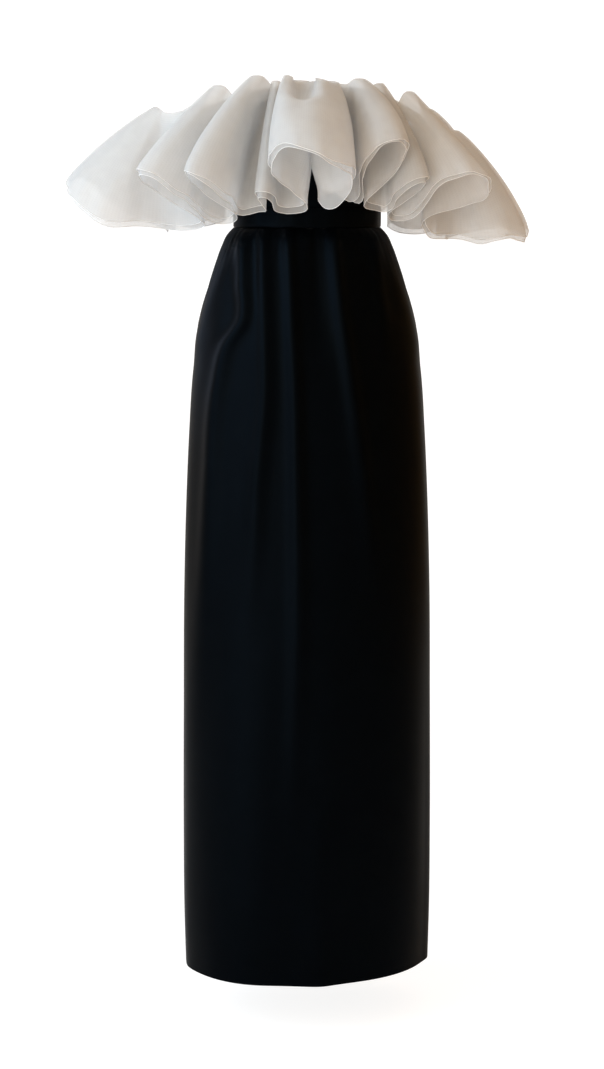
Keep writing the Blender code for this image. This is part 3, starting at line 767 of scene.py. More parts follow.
@dataclass(frozen=True)
class Organza:
    """Sheer white organza: fine square weave, crushed a little, and lit through from behind."""

    name: str = "white organza"
    colour: tuple[float, float, float] = (0.93, 0.925, 0.92)
    cover: float = 0.45
    through: float = 0.50
    pitch: float = 0.0005
    crush: float = 0.0009

    def make(self) -> bpy.types.Material:
        """Build the material."""
        material, wires = new_material(self.name)
        cut = wires.cut()
        place = wires.place()
        warp, weft = (wires.bands(way, cut, Scale=1 / (self.pitch * 20), Distortion=0.4, Detail=1.0)
                      for way in ("X", "Y"))
        weave = wires.math("MAXIMUM", warp, weft)
        cloud = wires.noise(place, Scale=20.0, Detail=3.0)
        crushed = wires.noise(place, Scale=90.0, Detail=3.0, Roughness=0.55)
        rumpled = wires.noise(place, Scale=28.0, Detail=2.0, Roughness=0.5, Distortion=0.8)
        soft = wires.bump(0.5, self.crush, wires.math("MULTIPLY_ADD", rumpled, 3.0, crushed))
        bump = wires.bump(0.08, 0.0001, weave, Normal=soft)
        rough = wires.math("MULTIPLY_ADD", cloud, 0.2, 0.42)
        face = wires.face((*self.colour, 1), rough, bump, Sheen_Weight=0.2, Sheen_Roughness=0.3,
                          Specular_IOR_Level=0.3)
        behind = wires.take("ShaderNodeBsdfTranslucent", "BSDF", Color=(*self.colour, 1), Normal=bump)
        clear = wires.add("ShaderNodeBsdfTransparent").outputs["BSDF"]
        patchy = wires.math("MULTIPLY_ADD", cloud, 0.16, self.cover - 0.14)
        cover = wires.math("MULTIPLY_ADD", weave, 0.03, patchy)
        wires.end(wires.mix(cover, clear, wires.mix(self.through, face, behind)))
        return material


@dataclass(frozen=True)
class Twist:
    """Rolled edge or thread: solid yarn with a fine slanting twist along its length."""

    name: str
    colour: tuple[float, float, float]
    roughness: float = 0.55
    pitch: float = 0.0012
    sheen: float = 0.15
    shine: float = 0.35

    def make(self) -> bpy.types.Material:
        """Build the material."""
        material, wires = new_material(self.name)
        strand = wires.bands("DIAGONAL", wires.place(), Scale=1 / (self.pitch * 20), Distortion=1.0,
                             Detail=1.0)
        rough = wires.math("MULTIPLY_ADD", strand, 0.15, self.roughness - 0.07)
        wires.end(wires.face((*self.colour, 1), rough, wires.bump(0.5, 0.0003, strand),
                             Sheen_Weight=self.sheen, Specular_IOR_Level=self.shine))
        return material


@dataclass(frozen=True)
class Tape:
    """White woven tape with fine ribs across it."""

    name: str = "white tape"
    colour: tuple[float, float, float] = (0.78, 0.77, 0.75)
    rib: float = 0.0011

    def make(self) -> bpy.types.Material:
        """Build the material."""
        material, wires = new_material(self.name)
        cut = wires.cut()
        ribs = wires.bands("X", cut, Scale=1 / (self.rib * 20), Distortion=0.3)
        lines = wires.bands("Y", cut, Scale=1 / (self.rib * 14), Distortion=0.3)
        relief = wires.math("MULTIPLY_ADD", lines, 0.5, ribs)
        rough = wires.math("MULTIPLY_ADD", relief, 0.12, 0.62)
        wires.end(wires.face((*self.colour, 1), rough, wires.bump(0.6, 0.0003, relief),
                             Sheen_Weight=0.2, Specular_IOR_Level=0.25))
        return material


class PathTree:
    """A Geometry Nodes tree that works along a path, and its named inputs."""

    def __init__(self, name: str, sizes: dict[str, float]) -> None:
        """Start the tree.

        Args:
            name: The tree's name.
            sizes: Named inputs and their usual values in metres.
        """
        self.tree = bpy.data.node_groups.new(name, "GeometryNodeTree")
        self.wires = Wiring(self.tree)
        face = self.tree.interface
        face.new_socket("Path", in_out="INPUT", socket_type="NodeSocketGeometry")
        for size, usual in sizes.items():
            face.new_socket(size, in_out="INPUT", socket_type="NodeSocketFloat").default_value = usual
        face.new_socket("Finish", in_out="INPUT", socket_type="NodeSocketMaterial")
        face.new_socket("Piece", in_out="OUTPUT", socket_type="NodeSocketGeometry")
        self.given = self.wires.add("NodeGroupInput").outputs
        line = self.wires.feed(self.wires.add("GeometryNodeMeshToCurve"), Mesh=self.given["Path"])
        self.line = line.outputs["Curve"]

    def close(self, made: bpy.types.NodeSocket) -> None:
        """End the tree with real geometry and its material.

        Args:
            made: The geometry so far.
        """
        wires = self.wires
        real = wires.feed(wires.add("GeometryNodeRealizeInstances"), Geometry=made)
        smooth = wires.feed(wires.add("GeometryNodeSetShadeSmooth"), in_0=real.outputs["Geometry"])
        dressed = wires.feed(wires.add("GeometryNodeSetMaterial"), Geometry=smooth.outputs[0],
                             Material=self.given["Finish"])
        wires.feed(wires.add("NodeGroupOutput"), Piece=dressed.outputs["Geometry"])

    def run(self, name: str, paths: list[tuple[Points, bool]], finish: bpy.types.Material,
            **sizes: float) -> bpy.types.Object:
        """Make a piece along some paths.

        Args:
            name: The piece's name.
            paths: Lines of points, each with True where it is closed.
            finish: The piece's material.
            sizes: The tree's named inputs, with _ for a space.

        Returns:
            A plain mesh object.
        """
        points = []
        edges = []
        for line, closed in paths:
            first = len(points)
            points.extend(line.tolist())
            edges.extend((first + i, first + i + 1) for i in range(len(line) - 1))
            if closed:
                edges.append((first + len(line) - 1, first))
        mesh = bpy.data.meshes.new(name + "_path")
        mesh.from_pydata(points, edges, [])
        guide = linked(name + "_path", mesh)
        modifier = guide.modifiers.new("Along the path", "NODES")
        modifier.node_group = self.tree
        sockets = {item.name: item.identifier for item in self.tree.interface.items_tree
                   if item.in_out == "INPUT"}
        for size, value in sizes.items():
            modifier[sockets[size.replace("_", " ")]] = value
        modifier[sockets["Finish"]] = finish
        graph = bpy.context.evaluated_depsgraph_get()
        made = bpy.data.meshes.new_from_object(guide.evaluated_get(graph))
        bpy.data.objects.remove(guide)
        made.name = name
        return linked(name, made)


def edge_roll_tree() -> PathTree:
    """Tree for a narrow rolled edge that follows a path."""
    made = PathTree("edge roll", {"Radius": 0.001})
    wires = made.wires
    round_wire = wires.add("GeometryNodeCurvePrimitiveCircle", mode="RADIUS")
    wires.feed(round_wire, Resolution=8, Radius=made.given["Radius"])
    tube = wires.feed(wires.add("GeometryNodeCurveToMesh"), Curve=made.line,
                      Profile_Curve=round_wire.outputs["Curve"], Fill_Caps=True)
    made.close(tube.outputs["Mesh"])
    return made


def stitch_tree() -> PathTree:
    """Tree for a row of stitches along a path."""
    made = PathTree("stitch row", {"Spacing": 0.003, "Half length": 0.001, "Thread radius": 0.0002})
    wires = made.wires
    spots = wires.add("GeometryNodeCurveToPoints", mode="LENGTH")
    wires.feed(spots, Curve=made.line, Length=made.given["Spacing"])
    bead = wires.add("GeometryNodeMeshUVSphere")
    wires.feed(bead, Segments=6, Rings=4, Radius=1.0)
    size = wires.add("ShaderNodeCombineXYZ")
    wires.feed(size, X=made.given["Thread radius"], Y=made.given["Thread radius"],
               Z=made.given["Half length"])
    row = wires.add("GeometryNodeInstanceOnPoints")
    wires.feed(row, Points=spots.outputs["Points"], Instance=bead.outputs["Mesh"],
               Rotation=spots.outputs["Rotation"], Scale=size.outputs["Vector"])
    made.close(row.outputs["Instances"])
    return made


@dataclass
class Skirt:
    """Long skirt: front, two backs and the facings behind the slanted pocket mouths."""

    top: float = -0.0154
    hem: float = -1.130
    front_rows: int = 190
    front_columns: int = 170
    back_rows: int = 130
    back_columns: int = 70
    facing_rows: int = 44
    facing_columns: int = 14
    pocket_top: float = math.radians(59.0)
    pocket_end: float = -0.160
    pocket_lap: float = 0.012
    pocket_lift: float = 0.0024
    pocket_lift_reach: float = 0.045
    hem_depth: float = 0.024
    hem_fold: float = 0.0005
    facing_end: float = -0.168
    pucker_rise: float = 0.0006
    pucker_fade: float = 0.035
    slow_rise: float = 0.0007
    hem_rise: float = 0.0016
    stitch_off: float = 0.0001

    def sizes(self, height: Points) -> list[Points]:
        """Half width, front and back depth and the two powers at some heights."""
        return ring_sizes(SKIRT_RINGS, height)

    def base(self, angle: Points, height: Points) -> tuple[Points, Points]:
        """Points on the smooth skirt and their outward directions."""
        half_width, front, back, left_power, right_power = self.sizes(height)
        turn = smooth_step((np.sin(angle) + 0.35) / 0.7)
        power = left_power + (right_power - left_power) * turn
        return oval(angle, half_width, depth_towards(angle, front, back), power)

    def folds(self, across: Points, height: Points, table: tuple[Fold, ...]) -> Points:
        """How far soft folds stand out.

        Args:
            across: Places across the skirt.
            height: Their heights.
            table: The folds.

        Returns:
            The rise at each place.
        """
        total = np.zeros_like(across)
        for fold in table:
            middle = eased(height, FOLD_HEIGHTS, fold.path)
            grown = smooth_step((fold.start - height) / 0.05 + 0.55)
            left = smooth_step((height - fold.fade) / (0.6 * (fold.start - fold.fade)))
            spread = fold.width * (1.0 + 0.9 * (fold.start - height) / (fold.start - fold.fade))
            total += fold.rise * grown * left * np.exp(-(((across - middle) / spread) ** 2))
        return total

    def ease(self, angle: Points, height: Points) -> Points:
        """Small puckers where the skirt is eased into the band, and slow waves down its length."""
        below = self.top - height
        pucker = np.sin(angle * 41 + 1.7 * np.sin(angle * 5)) * np.sin(angle * 17 + 0.6)
        pucker = pucker * np.exp(-below / self.pucker_fade) * smooth_step(below / 0.004)
        slow = np.sin(angle * 7 + 3.1 * height + 0.8) * np.sin(height * 5.3 + angle * 1.9)
        hem = np.sin(angle * 9 + 0.7 * np.sin(angle * 4)) * smooth_step((-0.55 - height) / 0.5)
        slow = slow * smooth_step(below / 0.2)
        return self.pucker_rise * pucker + self.slow_rise * slow + self.hem_rise * hem

    def pocket_angle(self, height: Points) -> Points:
        """Angle of the pocket mouth, and of the side seam below its end."""
        share = np.minimum(1.0, (self.top - height) / (self.top - self.pocket_end))
        return self.pocket_top + (SIDE_SEAM - self.pocket_top) * share

    def lift(self, angle: Points, height: Points) -> Points:
        """How far the front stands out over the pocket facing."""
        depth = self.sizes(height)[1]
        inside = (self.pocket_angle(height) - np.abs(angle)) * depth
        near = 1 - smooth_step((inside - self.pocket_lap * 1.6) / self.pocket_lift_reach)
        below = 1 - smooth_step((self.pocket_end - 0.012 - height) / 0.05)
        return self.pocket_lift * near * below

    def front_edge(self, height: Points) -> Points:
        """Angle of the front's edge: the pocket mouth, then the side seam."""
        return np.minimum(self.pocket_angle(height), SIDE_SEAM)

    def heights(self, rows: int) -> Points:
        """Heights of the rows, closer together near the waist."""
        share = np.linspace(0, 1, rows)
        return self.top + (self.hem - self.top) * (0.55 * share + 0.45 * share**2)

    def panel(self, name: str, rows: Points, columns: int, left: Points | float,
              right: Points | float, rise: Rise, finish: bpy.types.Material) -> bpy.types.Object:
        """One panel between two seams.

        Args:
            name: The panel's name.
            rows: Heights from the top down.
            columns: How many columns it has.
            left: Angle of its left edge at each height.
            right: Angle of its right edge at each height.
            rise: Function of angle, place across and height that gives how far it stands out.
            finish: Its material.

        Returns:
            The panel.
        """
        left, right = (np.broadcast_to(edge, rows.shape)[:, None] for edge in (left, right))
        angle = left + (right - left) * np.linspace(0, 1, columns)
        height = np.broadcast_to(rows[:, None], angle.shape)
        spot, facing = self.base(angle, height)
        lifted = rise(angle, spot[..., 0], height)
        folded = smooth_step((self.hem + self.hem_depth - height) / 0.002) * self.hem_fold
        outer = raised(spot, facing, lifted, height)
        inner = raised(spot, facing, lifted - CLOTH_WALL - folded, height)
        return shell(name, outer, inner, laid_out(outer), finish)

    def front_rise(self, angle: Points, across: Points, height: Points) -> Points:
        """How far the front stands out from the smooth skirt."""
        edge = smooth_step((math.pi / 2 - np.abs(angle)) / 0.30)
        eased_in = self.ease(angle, height) * edge
        return edge * self.folds(across, height, FRONT_FOLDS) + self.lift(angle, height) + eased_in

    def back_rise(self, angle: Points, across: Points, height: Points) -> Points:
        """How far a back stands out from the smooth skirt."""
        edge = smooth_step((np.abs(angle) - math.pi / 2) / 0.30)
        centre = smooth_step((math.pi - np.abs(angle)) / 0.10)
        return edge * (self.folds(np.abs(across), height, BACK_FOLDS) + self.ease(angle, height) * centre)

    def build(self, crepe: bpy.types.Material, facing: bpy.types.Material) -> None:
        """Make all the panels.

        Args:
            crepe: The skirt's cloth.
            facing: The pocket facings' cloth, the crepe painted lighter as a painted highlight.
        """
        rows = self.heights(self.front_rows)
        edge = self.front_edge(rows)
        front = self.panel("skirt_front_cloth", rows, self.front_columns, -edge, edge,
                           self.front_rise, crepe)
        hand_over(front, Cloth.CREPE, "skirt_front")
        rows = self.heights(self.back_rows)
        for side, left, right in both_sides(SIDE_SEAM, BACK_SEAM):
            piece = self.panel(f"skirt_back_{side}_cloth", rows, self.back_columns, left, right,
                               self.back_rise, crepe)
            hand_over(piece, Cloth.CREPE, f"skirt_back_{side}")
        rows = np.linspace(self.top, self.facing_end, self.facing_rows)
        lap = self.pocket_angle(rows) - self.pocket_lap / self.sizes(rows)[1]
        # The facings take the lighter crepe, a painted highlight.
        for side, left, right in both_sides(lap, SIDE_SEAM):
            piece = self.panel(f"pocket_facing_{side}_cloth", rows, self.facing_columns, left, right,
                               lambda angle, across, height: np.zeros_like(angle), facing)
            hand_over(piece, Cloth.FACING, f"pocket_facing_{side}")

    def on_panel(self, rise: Rise, angle: Points, height: Points) -> Points:
        """Points just off a panel's right side, for stitches."""
        spot, facing = self.base(angle, height)
        return raised(spot, facing, rise(angle, spot[..., 0], height) + self.stitch_off, height)

    def stitch(self, tree: PathTree, thread: bpy.types.Material) -> None:
        """Stitches along the pocket mouths and the hem.

        Args:
            tree: The tree for a row of stitches.
            thread: The thread's material.
        """
        rows = np.linspace(self.top - 0.002, self.pocket_end + 0.002, 90)
        mouth = self.pocket_angle(rows) - 0.0045 / self.sizes(rows)[1]
        paths = [(self.on_panel(self.front_rise, angle, rows), False) for angle in (mouth, -mouth)]
        row = tree.run("pocket_stitches", paths, thread, Spacing=0.0036, Half_length=0.0013,
                       Thread_radius=0.00028)
        hand_over(row, Cloth.CREPE)
        height = self.hem + self.hem_depth
        half = float(self.front_edge(np.array([height]))[0]) - 0.01
        front = np.linspace(-half, half, 240)
        behind = np.linspace(math.pi - half, math.pi - 0.01, 120)
        lines = ((self.front_rise, front), (self.back_rise, behind), (self.back_rise, -behind))
        paths = [(self.on_panel(rise, angle, np.full(len(angle), height)), False)
                 for rise, angle in lines]
        row = tree.run("hem_stitches", paths, thread, Spacing=0.009, Half_length=0.0009,
                       Thread_radius=0.00025)
        hand_over(row, Cloth.CREPE)


@dataclass
class Waistband:
    """Straight band round the waist, closed at the back centre."""

    height: float = 0.030
    half_width: float = 0.1085
    front: float = 0.0890
    back: float = 0.0860
    power: float = 2.1
    wall: float = 0.0020
    rows: int = 15
    columns: int = 360
    edge_round: float = 0.0007
    ripple: float = 0.00025
    overlap_drop: float = 0.0005
    overlap_width: float = 0.0008
    stitch_edge: float = 0.0022
    stitch_off: float = 0.00005

    def surface(self, angle: Points, height: Points, off: Points) -> Points:
        """Points on the band.

        Args:
            angle: Angles round the body.
            height: Heights.
            off: How far each point stands off the band's outside.

        Returns:
            The points.
        """
        depth = depth_towards(angle, self.front, self.back)
        spot, facing = oval(angle, self.half_width, depth, self.power)
        return raised(spot, facing, off, height)

    def build(self, crepe: bpy.types.Material) -> None:
        """Make the band.

        Args:
            crepe: The band's cloth.
        """
        angle = np.broadcast_to(round_angles(self.columns), (self.rows, self.columns))
        share = np.sin(np.linspace(-1, 1, self.rows) * math.pi / 2)[:, None] * np.ones_like(angle)
        height = -share * self.height / 2
        edge = -self.edge_round * np.abs(share) ** 10
        ripple = self.ripple * np.sin(angle * 23 + 2 * np.sin(angle * 3)) * (1 - share**2)
        overlap = np.exp(-((np.abs(angle - math.pi) * self.back / self.overlap_width) ** 2))
        overlap *= -self.overlap_drop
        outer = self.surface(angle, height, edge + ripple + overlap)
        inner = self.surface(angle, height, -self.wall - edge * 0.5 + ripple)
        band = shell("waistband_cloth", outer, inner, laid_out(outer, True), crepe, closed=True)
        hand_over(band, Cloth.CREPE, "waistband")

    def stitch(self, tree: PathTree, thread: bpy.types.Material) -> None:
        """Rows of stitches along both edges of the band.

        Args:
            tree: The tree for a row of stitches.
            thread: The thread's material.
        """
        angle = round_angles(self.columns)
        off = np.full_like(angle, self.stitch_off)
        edge = self.height / 2 - self.stitch_edge
        paths = [(self.surface(angle, np.full_like(angle, side * edge), off), True) for side in (-1, 1)]
        row = tree.run("waistband_stitches", paths, thread, Spacing=0.0032, Half_length=0.0012,
                       Thread_radius=0.00026)
        hand_over(row, Cloth.CREPE)


@dataclass
class Bodice:
    """Fitted bodice under the frill, high in front and behind and low under the arms."""

    base: float = 0.0150
    drag: float = 0.0004
    stitch_drop: float = 0.003
    stitch_off: float = 0.0001
    rows: int = 50
    front_columns: int = 110
    back_columns: int = 56

    def surface(self, angle: Points, height: Points, off: Points) -> Points:
        """Points on the bodice.

        Args:
            angle: Angles round the body.
            height: Heights.
            off: How far each point stands off the bodice's outside.

        Returns:
            The points.
        """
        half_width, front, back = ring_sizes(BODICE_RINGS, height)
        spot, facing = oval(angle, half_width, depth_towards(angle, front, back), BODICE_POWER)
        return raised(spot, facing, off, height)

    def top(self, angle: Points) -> Points:
        """Height of the top edge."""
        return eased(np.abs(np.degrees(angle)), BODICE_TOP_ANGLES, BODICE_TOP_HEIGHTS)

    def build(self, crepe: bpy.types.Material) -> None:
        """Make the front and the two backs.

        Args:
            crepe: The bodice's cloth.
        """
        panels = (
            ("bodice_front", -SIDE_SEAM, SIDE_SEAM, self.front_columns, (0.33, 0.175)),
            ("bodice_back_right", -BACK_SEAM, -SIDE_SEAM, self.back_columns, (0.185, 0.145)),
            ("bodice_back_left", SIDE_SEAM, BACK_SEAM, self.back_columns, (0.185, 0.145)),
        )
        for name, left, right, columns, flat in panels:
            angle = np.broadcast_to(np.linspace(left, right, columns), (self.rows, columns))
            share = np.linspace(0, 1, self.rows)[:, None]
            height = self.top(angle) + (self.base - self.top(angle)) * share
            drag = np.sin(angle * 13 + height * 22) * np.sin(height * 31 + 1.3 * np.sin(angle * 4))
            inside = np.sin(math.pi * share) * np.sin(math.pi * (angle - left) / (right - left))
            off = -self.drag * np.abs(drag) * inside
            outer = self.surface(angle, height, off)
            inner = self.surface(angle, height, off - CLOTH_WALL)
            piece = shell(name + "_cloth", outer, inner, laid_out(outer), crepe)
            hand_over(piece, Cloth.CREPE, name)

    def stitch(self, tree: PathTree, thread: bpy.types.Material) -> None:
        """A row of stitches just below the top edge.

        Args:
            tree: The tree for a row of stitches.
            thread: The thread's material.
        """
        angle = np.linspace(-math.pi + 0.02, math.pi - 0.02, 600)
        off = np.full_like(angle, self.stitch_off)
        line = self.surface(angle, self.top(angle) - self.stitch_drop, off)
        row = tree.run("bodice_stitches", [(line, False)], thread, Spacing=0.0032,
                       Half_length=0.0012, Thread_radius=0.00025)
        hand_over(row, Cloth.CREPE)


def polar_reach(angle: Points, half_width: float, half_depth: Points, power: float) -> Points:
    """Distance from the axis to an oval in some directions."""
    across = np.abs(np.sin(angle)) / half_width
    along = np.abs(np.cos(angle)) / half_depth
    return (across**power + along**power) ** (-1 / power)


def neckline_reach(angle: Points) -> Points:
    """Distance from the axis to the outside of the neck binding."""
    width, front, back = ring_sizes(BODICE_RINGS, BINDING_FOOT)
    close = polar_reach(angle, width, depth_towards(angle, front, back), BODICE_POWER)
    close = close + BINDING_OFF + CLOTH_WALL
    wide = polar_reach(angle, ARM_HALF_WIDTH, ARM_HALF_DEPTH, ARM_POWER)
    turn = np.abs(np.arctan2(np.sin(angle), np.cos(angle)))
    turn = np.minimum(turn, math.pi - turn)
    away = smooth_step((turn - LEAVES_BODICE) / (REACHES_ARM - LEAVES_BODICE))
    return close + (np.maximum(wide, close) - close) * away


def closed_curve(points: Points, fine: int) -> Points:
    """A smooth closed curve.

    Args:
        points: The points that it goes through.
        fine: How many points it gets for each of them.

    Returns:
        The curve's points.
    """
    ahead = np.roll(points, -1, axis=0)
    after = np.roll(points, -2, axis=0)
    before = np.roll(points, 1, axis=0)
    first = np.sqrt(np.linalg.norm(points - before, axis=1))[:, None]
    middle = np.sqrt(np.linalg.norm(ahead - points, axis=1))[:, None]
    last = np.sqrt(np.linalg.norm(after - ahead, axis=1))[:, None]
    leaving = middle * (
        (points - before) / first - (ahead - before) / (first + middle) + (ahead - points) / middle)
    arriving = middle * (
        (ahead - points) / middle - (after - points) / (middle + last) + (after - ahead) / last)
    spans = []
    for part in np.arange(fine) / fine:
        rest = 1 - part
        spans.append(
            points * (1 + 2 * part) * rest**2 + ahead * part**2 * (3 - 2 * part)
            + leaving * part * rest**2 - arriving * part**2 * rest)
    return np.stack(spans, axis=1).reshape(-1, points.shape[1])


@dataclass
class Frill:
    """Wide fluted frill of two layers, gathered round the neckline."""

    fineness: float = 4.4
    rows: int = 34
    wall: float = 0.0005
    hem_radius: float = 0.00048
    under_share: float = 1.045
    hem_slope: float = 0.12
    droop: float = 0.35
    swing_share: float = 0.14

    def section(self, middle: float, base: float, crest_angle: float, crest_reach: float,
                mouth: float, throat: float) -> list[Points]:
        """Level points of one flute's section.

        Args:
            middle: Angle of its root, in degrees.
            base: The root's distance from the axis.
            crest_angle: Angle of its crest, in degrees.
            crest_reach: The crest's distance from the axis.
            mouth: Width of its mouth.
            throat: Opening between its walls where they turn back.

        Returns:
            One point for each of MOUTH_SHAPE.
        """
        root = level(np.radians(middle), base)
        crest = level(np.radians(crest_angle), crest_reach)
        out = crest - root
        across = np.array([-out[1], out[0]]) / np.linalg.norm(out)
        return [root + out * point.out + across * point.side * (mouth / 2 if point.out > 0.3 else throat)
                for point in MOUTH_SHAPE]

    def curves(self) -> tuple[Points, Points]:
        """Smooth closed curves of the hem and of the neckline, with the same points along both."""
        hem = []
        neck = []
        for index, flute in enumerate(FLUTES):
            before = FLUTES[index - 1]
            base = (before.valley_reach + flute.valley_reach) / 2 + 0.002
            low = (before.valley_z + flute.valley_z) / 2
            middle = before.valley_angle + ((flute.valley_angle - before.valley_angle) % 360) / 2
            spots = self.section(middle, base, flute.hem_angle, flute.reach, flute.mouth, flute.throat)
            for spot, point in zip(spots, MOUTH_SHAPE):
                share = point.height**flute.sag
                lean = flute.tilt * point.side / 2 * point.height
                hem.append((*spot, low + (flute.hem_z - low) * share + lean))
            valley = level(np.radians(flute.valley_angle), flute.valley_reach)
            hem.append((*valley, flute.valley_z))
            near = float(neckline_reach(np.radians(flute.neck_angle))) + NECK_CLEAR
            low = (before.valley_neck_z + flute.valley_neck_z) / 2
            spots = self.section(flute.neck_angle, near, flute.neck_angle, near + flute.neck_out,
                                 flute.neck_mouth, flute.neck_throat)
            for spot, point in zip(spots, MOUTH_SHAPE):
                neck.append((*spot, low + (flute.neck_z - low) * point.height))
            turn = np.radians(flute.valley_neck)
            valley = level(turn, float(neckline_reach(turn)) + NECK_CLEAR)
            neck.append((*valley, flute.valley_neck_z))
        return closed_curve(np.array(hem), CURVE_FINE), closed_curve(np.array(neck), CURVE_FINE)

    def columns(self) -> tuple[Points, Points, Points, Points]:
        """Hem point, neckline point, arch and spot of every column, all the way round."""
        hem, neck = self.curves()
        angles, reach = heading(neck)
        neck[:, :2] = level(angles, np.maximum(reach, neckline_reach(angles) + NECK_CLEAR))
        per_flute = (len(MOUTH_SHAPE) + 1) * CURVE_FINE
        hems = []
        necks = []
        arches = []
        places = []
        for index, flute in enumerate(FLUTES):
            spots = index * per_flute - CURVE_FINE + np.arange(per_flute + 1)
            run = np.take(hem, spots, axis=0, mode="wrap")
            top = np.take(neck, spots, axis=0, mode="wrap")
            length = np.concatenate([[0], np.cumsum(np.linalg.norm(np.diff(run, axis=0), axis=1))])
            count = round(flute.columns * self.fineness)
            share = np.arange(count) / count
            along = share * length[-1]
            hems.append(np.stack([np.interp(along, length, run[:, axis]) for axis in range(3)], axis=-1))
            necks.append(np.stack([np.interp(along, length, top[:, axis]) for axis in range(3)], axis=-1))
            arches.append(1.0 + (flute.arch - 1.0) * (0.5 + 0.5 * np.sin(math.pi * share) ** 2))
            places.append(index + share)
        return tuple(np.concatenate(part) for part in (hems, necks, arches, places))

    def surface(self, shares: Points) -> tuple[Points, Points]:
        """The frill's smooth surface.

        Args:
            shares: Shares of the frill's length, one for each row.

        Returns:
            Its points and their outward directions.
        """
        hems, necks, arches, places = self.columns()
        hems[:, 2] += lift(places, HEM_WAVES)
        necks[:, 2] += lift(places, NECK_WAVES)
        share = shares[:, None]
        beyond = 1 + self.hem_slope * (share - 1)
        out = np.where(share < 1, 1 - np.abs(1 - share) ** arches, beyond)
        down = share ** (1 + self.droop * (arches - 1))
        grid = np.broadcast_to(necks, (len(shares), *necks.shape)).copy()
        grid[..., :2] += (hems - necks)[:, :2] * out[..., None]
        grid[..., 2] += (hems - necks)[:, 2] * down
        near = shares < BINDING_SHARE
        angles, reach = heading(grid[near])
        swing = SWING_CLEAR * np.minimum(share[near] / self.swing_share, 1)
        clear = neckline_reach(angles) + NECK_CLEAR + swing
        grid[near, :, :2] = level(angles, np.maximum(reach, clear))
        gap = np.abs(round_gap(places, SLIT_SPOT))
        walls = (gap > SLIT_WALLS[0]) & (gap < SLIT_WALLS[1])
        beside = smooth_step(2 - np.abs(grid[..., 0] - SLIT_MIDDLE) / SLIT_HALF_WIDTH)
        closing = SLIT_PINCH * smooth_step((1 - share) / SLIT_FADE) * beside
        closing = closing * (grid[..., 1] > -SLIT_REACH) * walls
        grid[..., 0] -= (grid[..., 0] - SLIT_MIDDLE) * closing
        along = np.gradient(grid, shares, axis=0)
        around = (np.roll(grid, -1, axis=1) - np.roll(grid, 1, axis=1)) / 2
        facing = np.cross(-along, -around)
        facing /= np.linalg.norm(facing, axis=2, keepdims=True) + 1e-12
        flat = facing.copy()
        flat[..., 2] = 0
        flat /= np.linalg.norm(flat, axis=-1, keepdims=True)
        turned = flat + (facing - flat) * np.minimum(share * 4, 1)[..., None]
        return grid, turned / np.linalg.norm(turned, axis=-1, keepdims=True)

    def relief(self, shares: Points) -> Points:
        """How far the creases, gathers and hem ripples stand out.

        Args:
            shares: Shares of the frill's length, one for each row.

        Returns:
            The rise at each point.
        """
        hems, necks, _, places = self.columns()
        share = shares[:, None]
        total = np.zeros((len(shares), len(places)))
        creases = list(CREASES)
        for number, flute in enumerate(PLAIN_FLUTES):
            shift = PLAIN_SHIFT * math.sin(number * 2.4)
            creases += [Crease(flute + spot + way * shift, *rest) for spot, way, *rest in PLAIN_CREASES]
        for crease in creases:
            gap = round_gap(places, crease.spot + crease.drift * share)
            along = hump(share, crease.top, crease.foot)
            total += crease.rise * np.exp(-((gap / crease.width) ** 2)) * along
        arc = lengths_round(necks)
        gather = 0.5 + 0.5 * np.sin(arc / GATHER_PITCH * math.tau + 2.0 * np.sin(arc * 37))
        total += GATHER_RISE * gather * np.exp(-share / GATHER_FADE) * (0.4 + 0.6 * np.sin(arc * 21) ** 2)
        arc = lengths_round(hems)
        ripple = np.sin(arc / RIPPLE_PITCH * math.tau + 2.2 * np.sin(arc * 11)) * np.sin(arc * 17 + 0.5)
        total += RIPPLE_RISE * ripple * smooth_step((share - RIPPLE_START) / 0.3)
        crushed = np.sin(share * 62 + 3.0 * np.sin(places * 41)) * np.sin(share * 27 + places * 60)
        beside = np.exp(-((round_gap(places, CRUSHED_SPOT) / CRUSHED_WIDTH) ** 2))
        total += CRUSHED_RISE * crushed * beside * hump(share, 0.02, 0.85)
        return total

    def layer(self, name: str, node: str, last: float, sink: float,
              organza: bpy.types.Material) -> Points:
        """One layer of the frill.

        Args:
            name: The piece's name.
            node: The solid that it stands for.
            last: Share of the frill's length where its hem lies.
            sink: How far its hem lies below the outer layer's.
            organza: Its cloth.

        Returns:
            The points of its hem.
        """
        even = np.linspace(0, 1, self.rows)
        shares = last * (0.75 * even + 0.25 * even**2)
        grid, facing = self.surface(shares)
        share = shares[:, None]
        off = self.relief(shares) - sink * np.minimum(share * 1.5, 1)
        if sink:
            grid[..., 2] += lift(self.columns()[3], UNDER_WAVES) * smooth_step((share - 0.5) / 0.5)
        else:
            off = off + LAYER_GAP_NECK
        outer = grid + facing * off[..., None]
        inner = outer - facing * self.wall
        piece = shell(name, outer, inner, laid_out(outer, True), organza, closed=True)
        hand_over(piece, Cloth.ORGANZA, node)
        return (outer[-1] + inner[-1]) / 2

    def build(self, organza: bpy.types.Material, yarn: bpy.types.Material, roll: PathTree) -> None:
        """Make both layers and their rolled hems.

        Args:
            organza: The frill's cloth.
            yarn: The rolled hems' material.
            roll: The tree for a rolled edge.
        """
        layers = (
            ("frill_outer", "ruffle_outer", 1.0, 0.0),
            ("frill_under", "ruffle_under", self.under_share, LAYER_GAP_HEM - LAYER_GAP_NECK),
        )
        for name, node, last, sink in layers:
            hem = self.layer(name, node, last, sink, organza)
            edge = roll.run(name + "_hem", [(hem, True)], yarn, Radius=self.hem_radius)
            hand_over(edge, Cloth.ORGANZA)


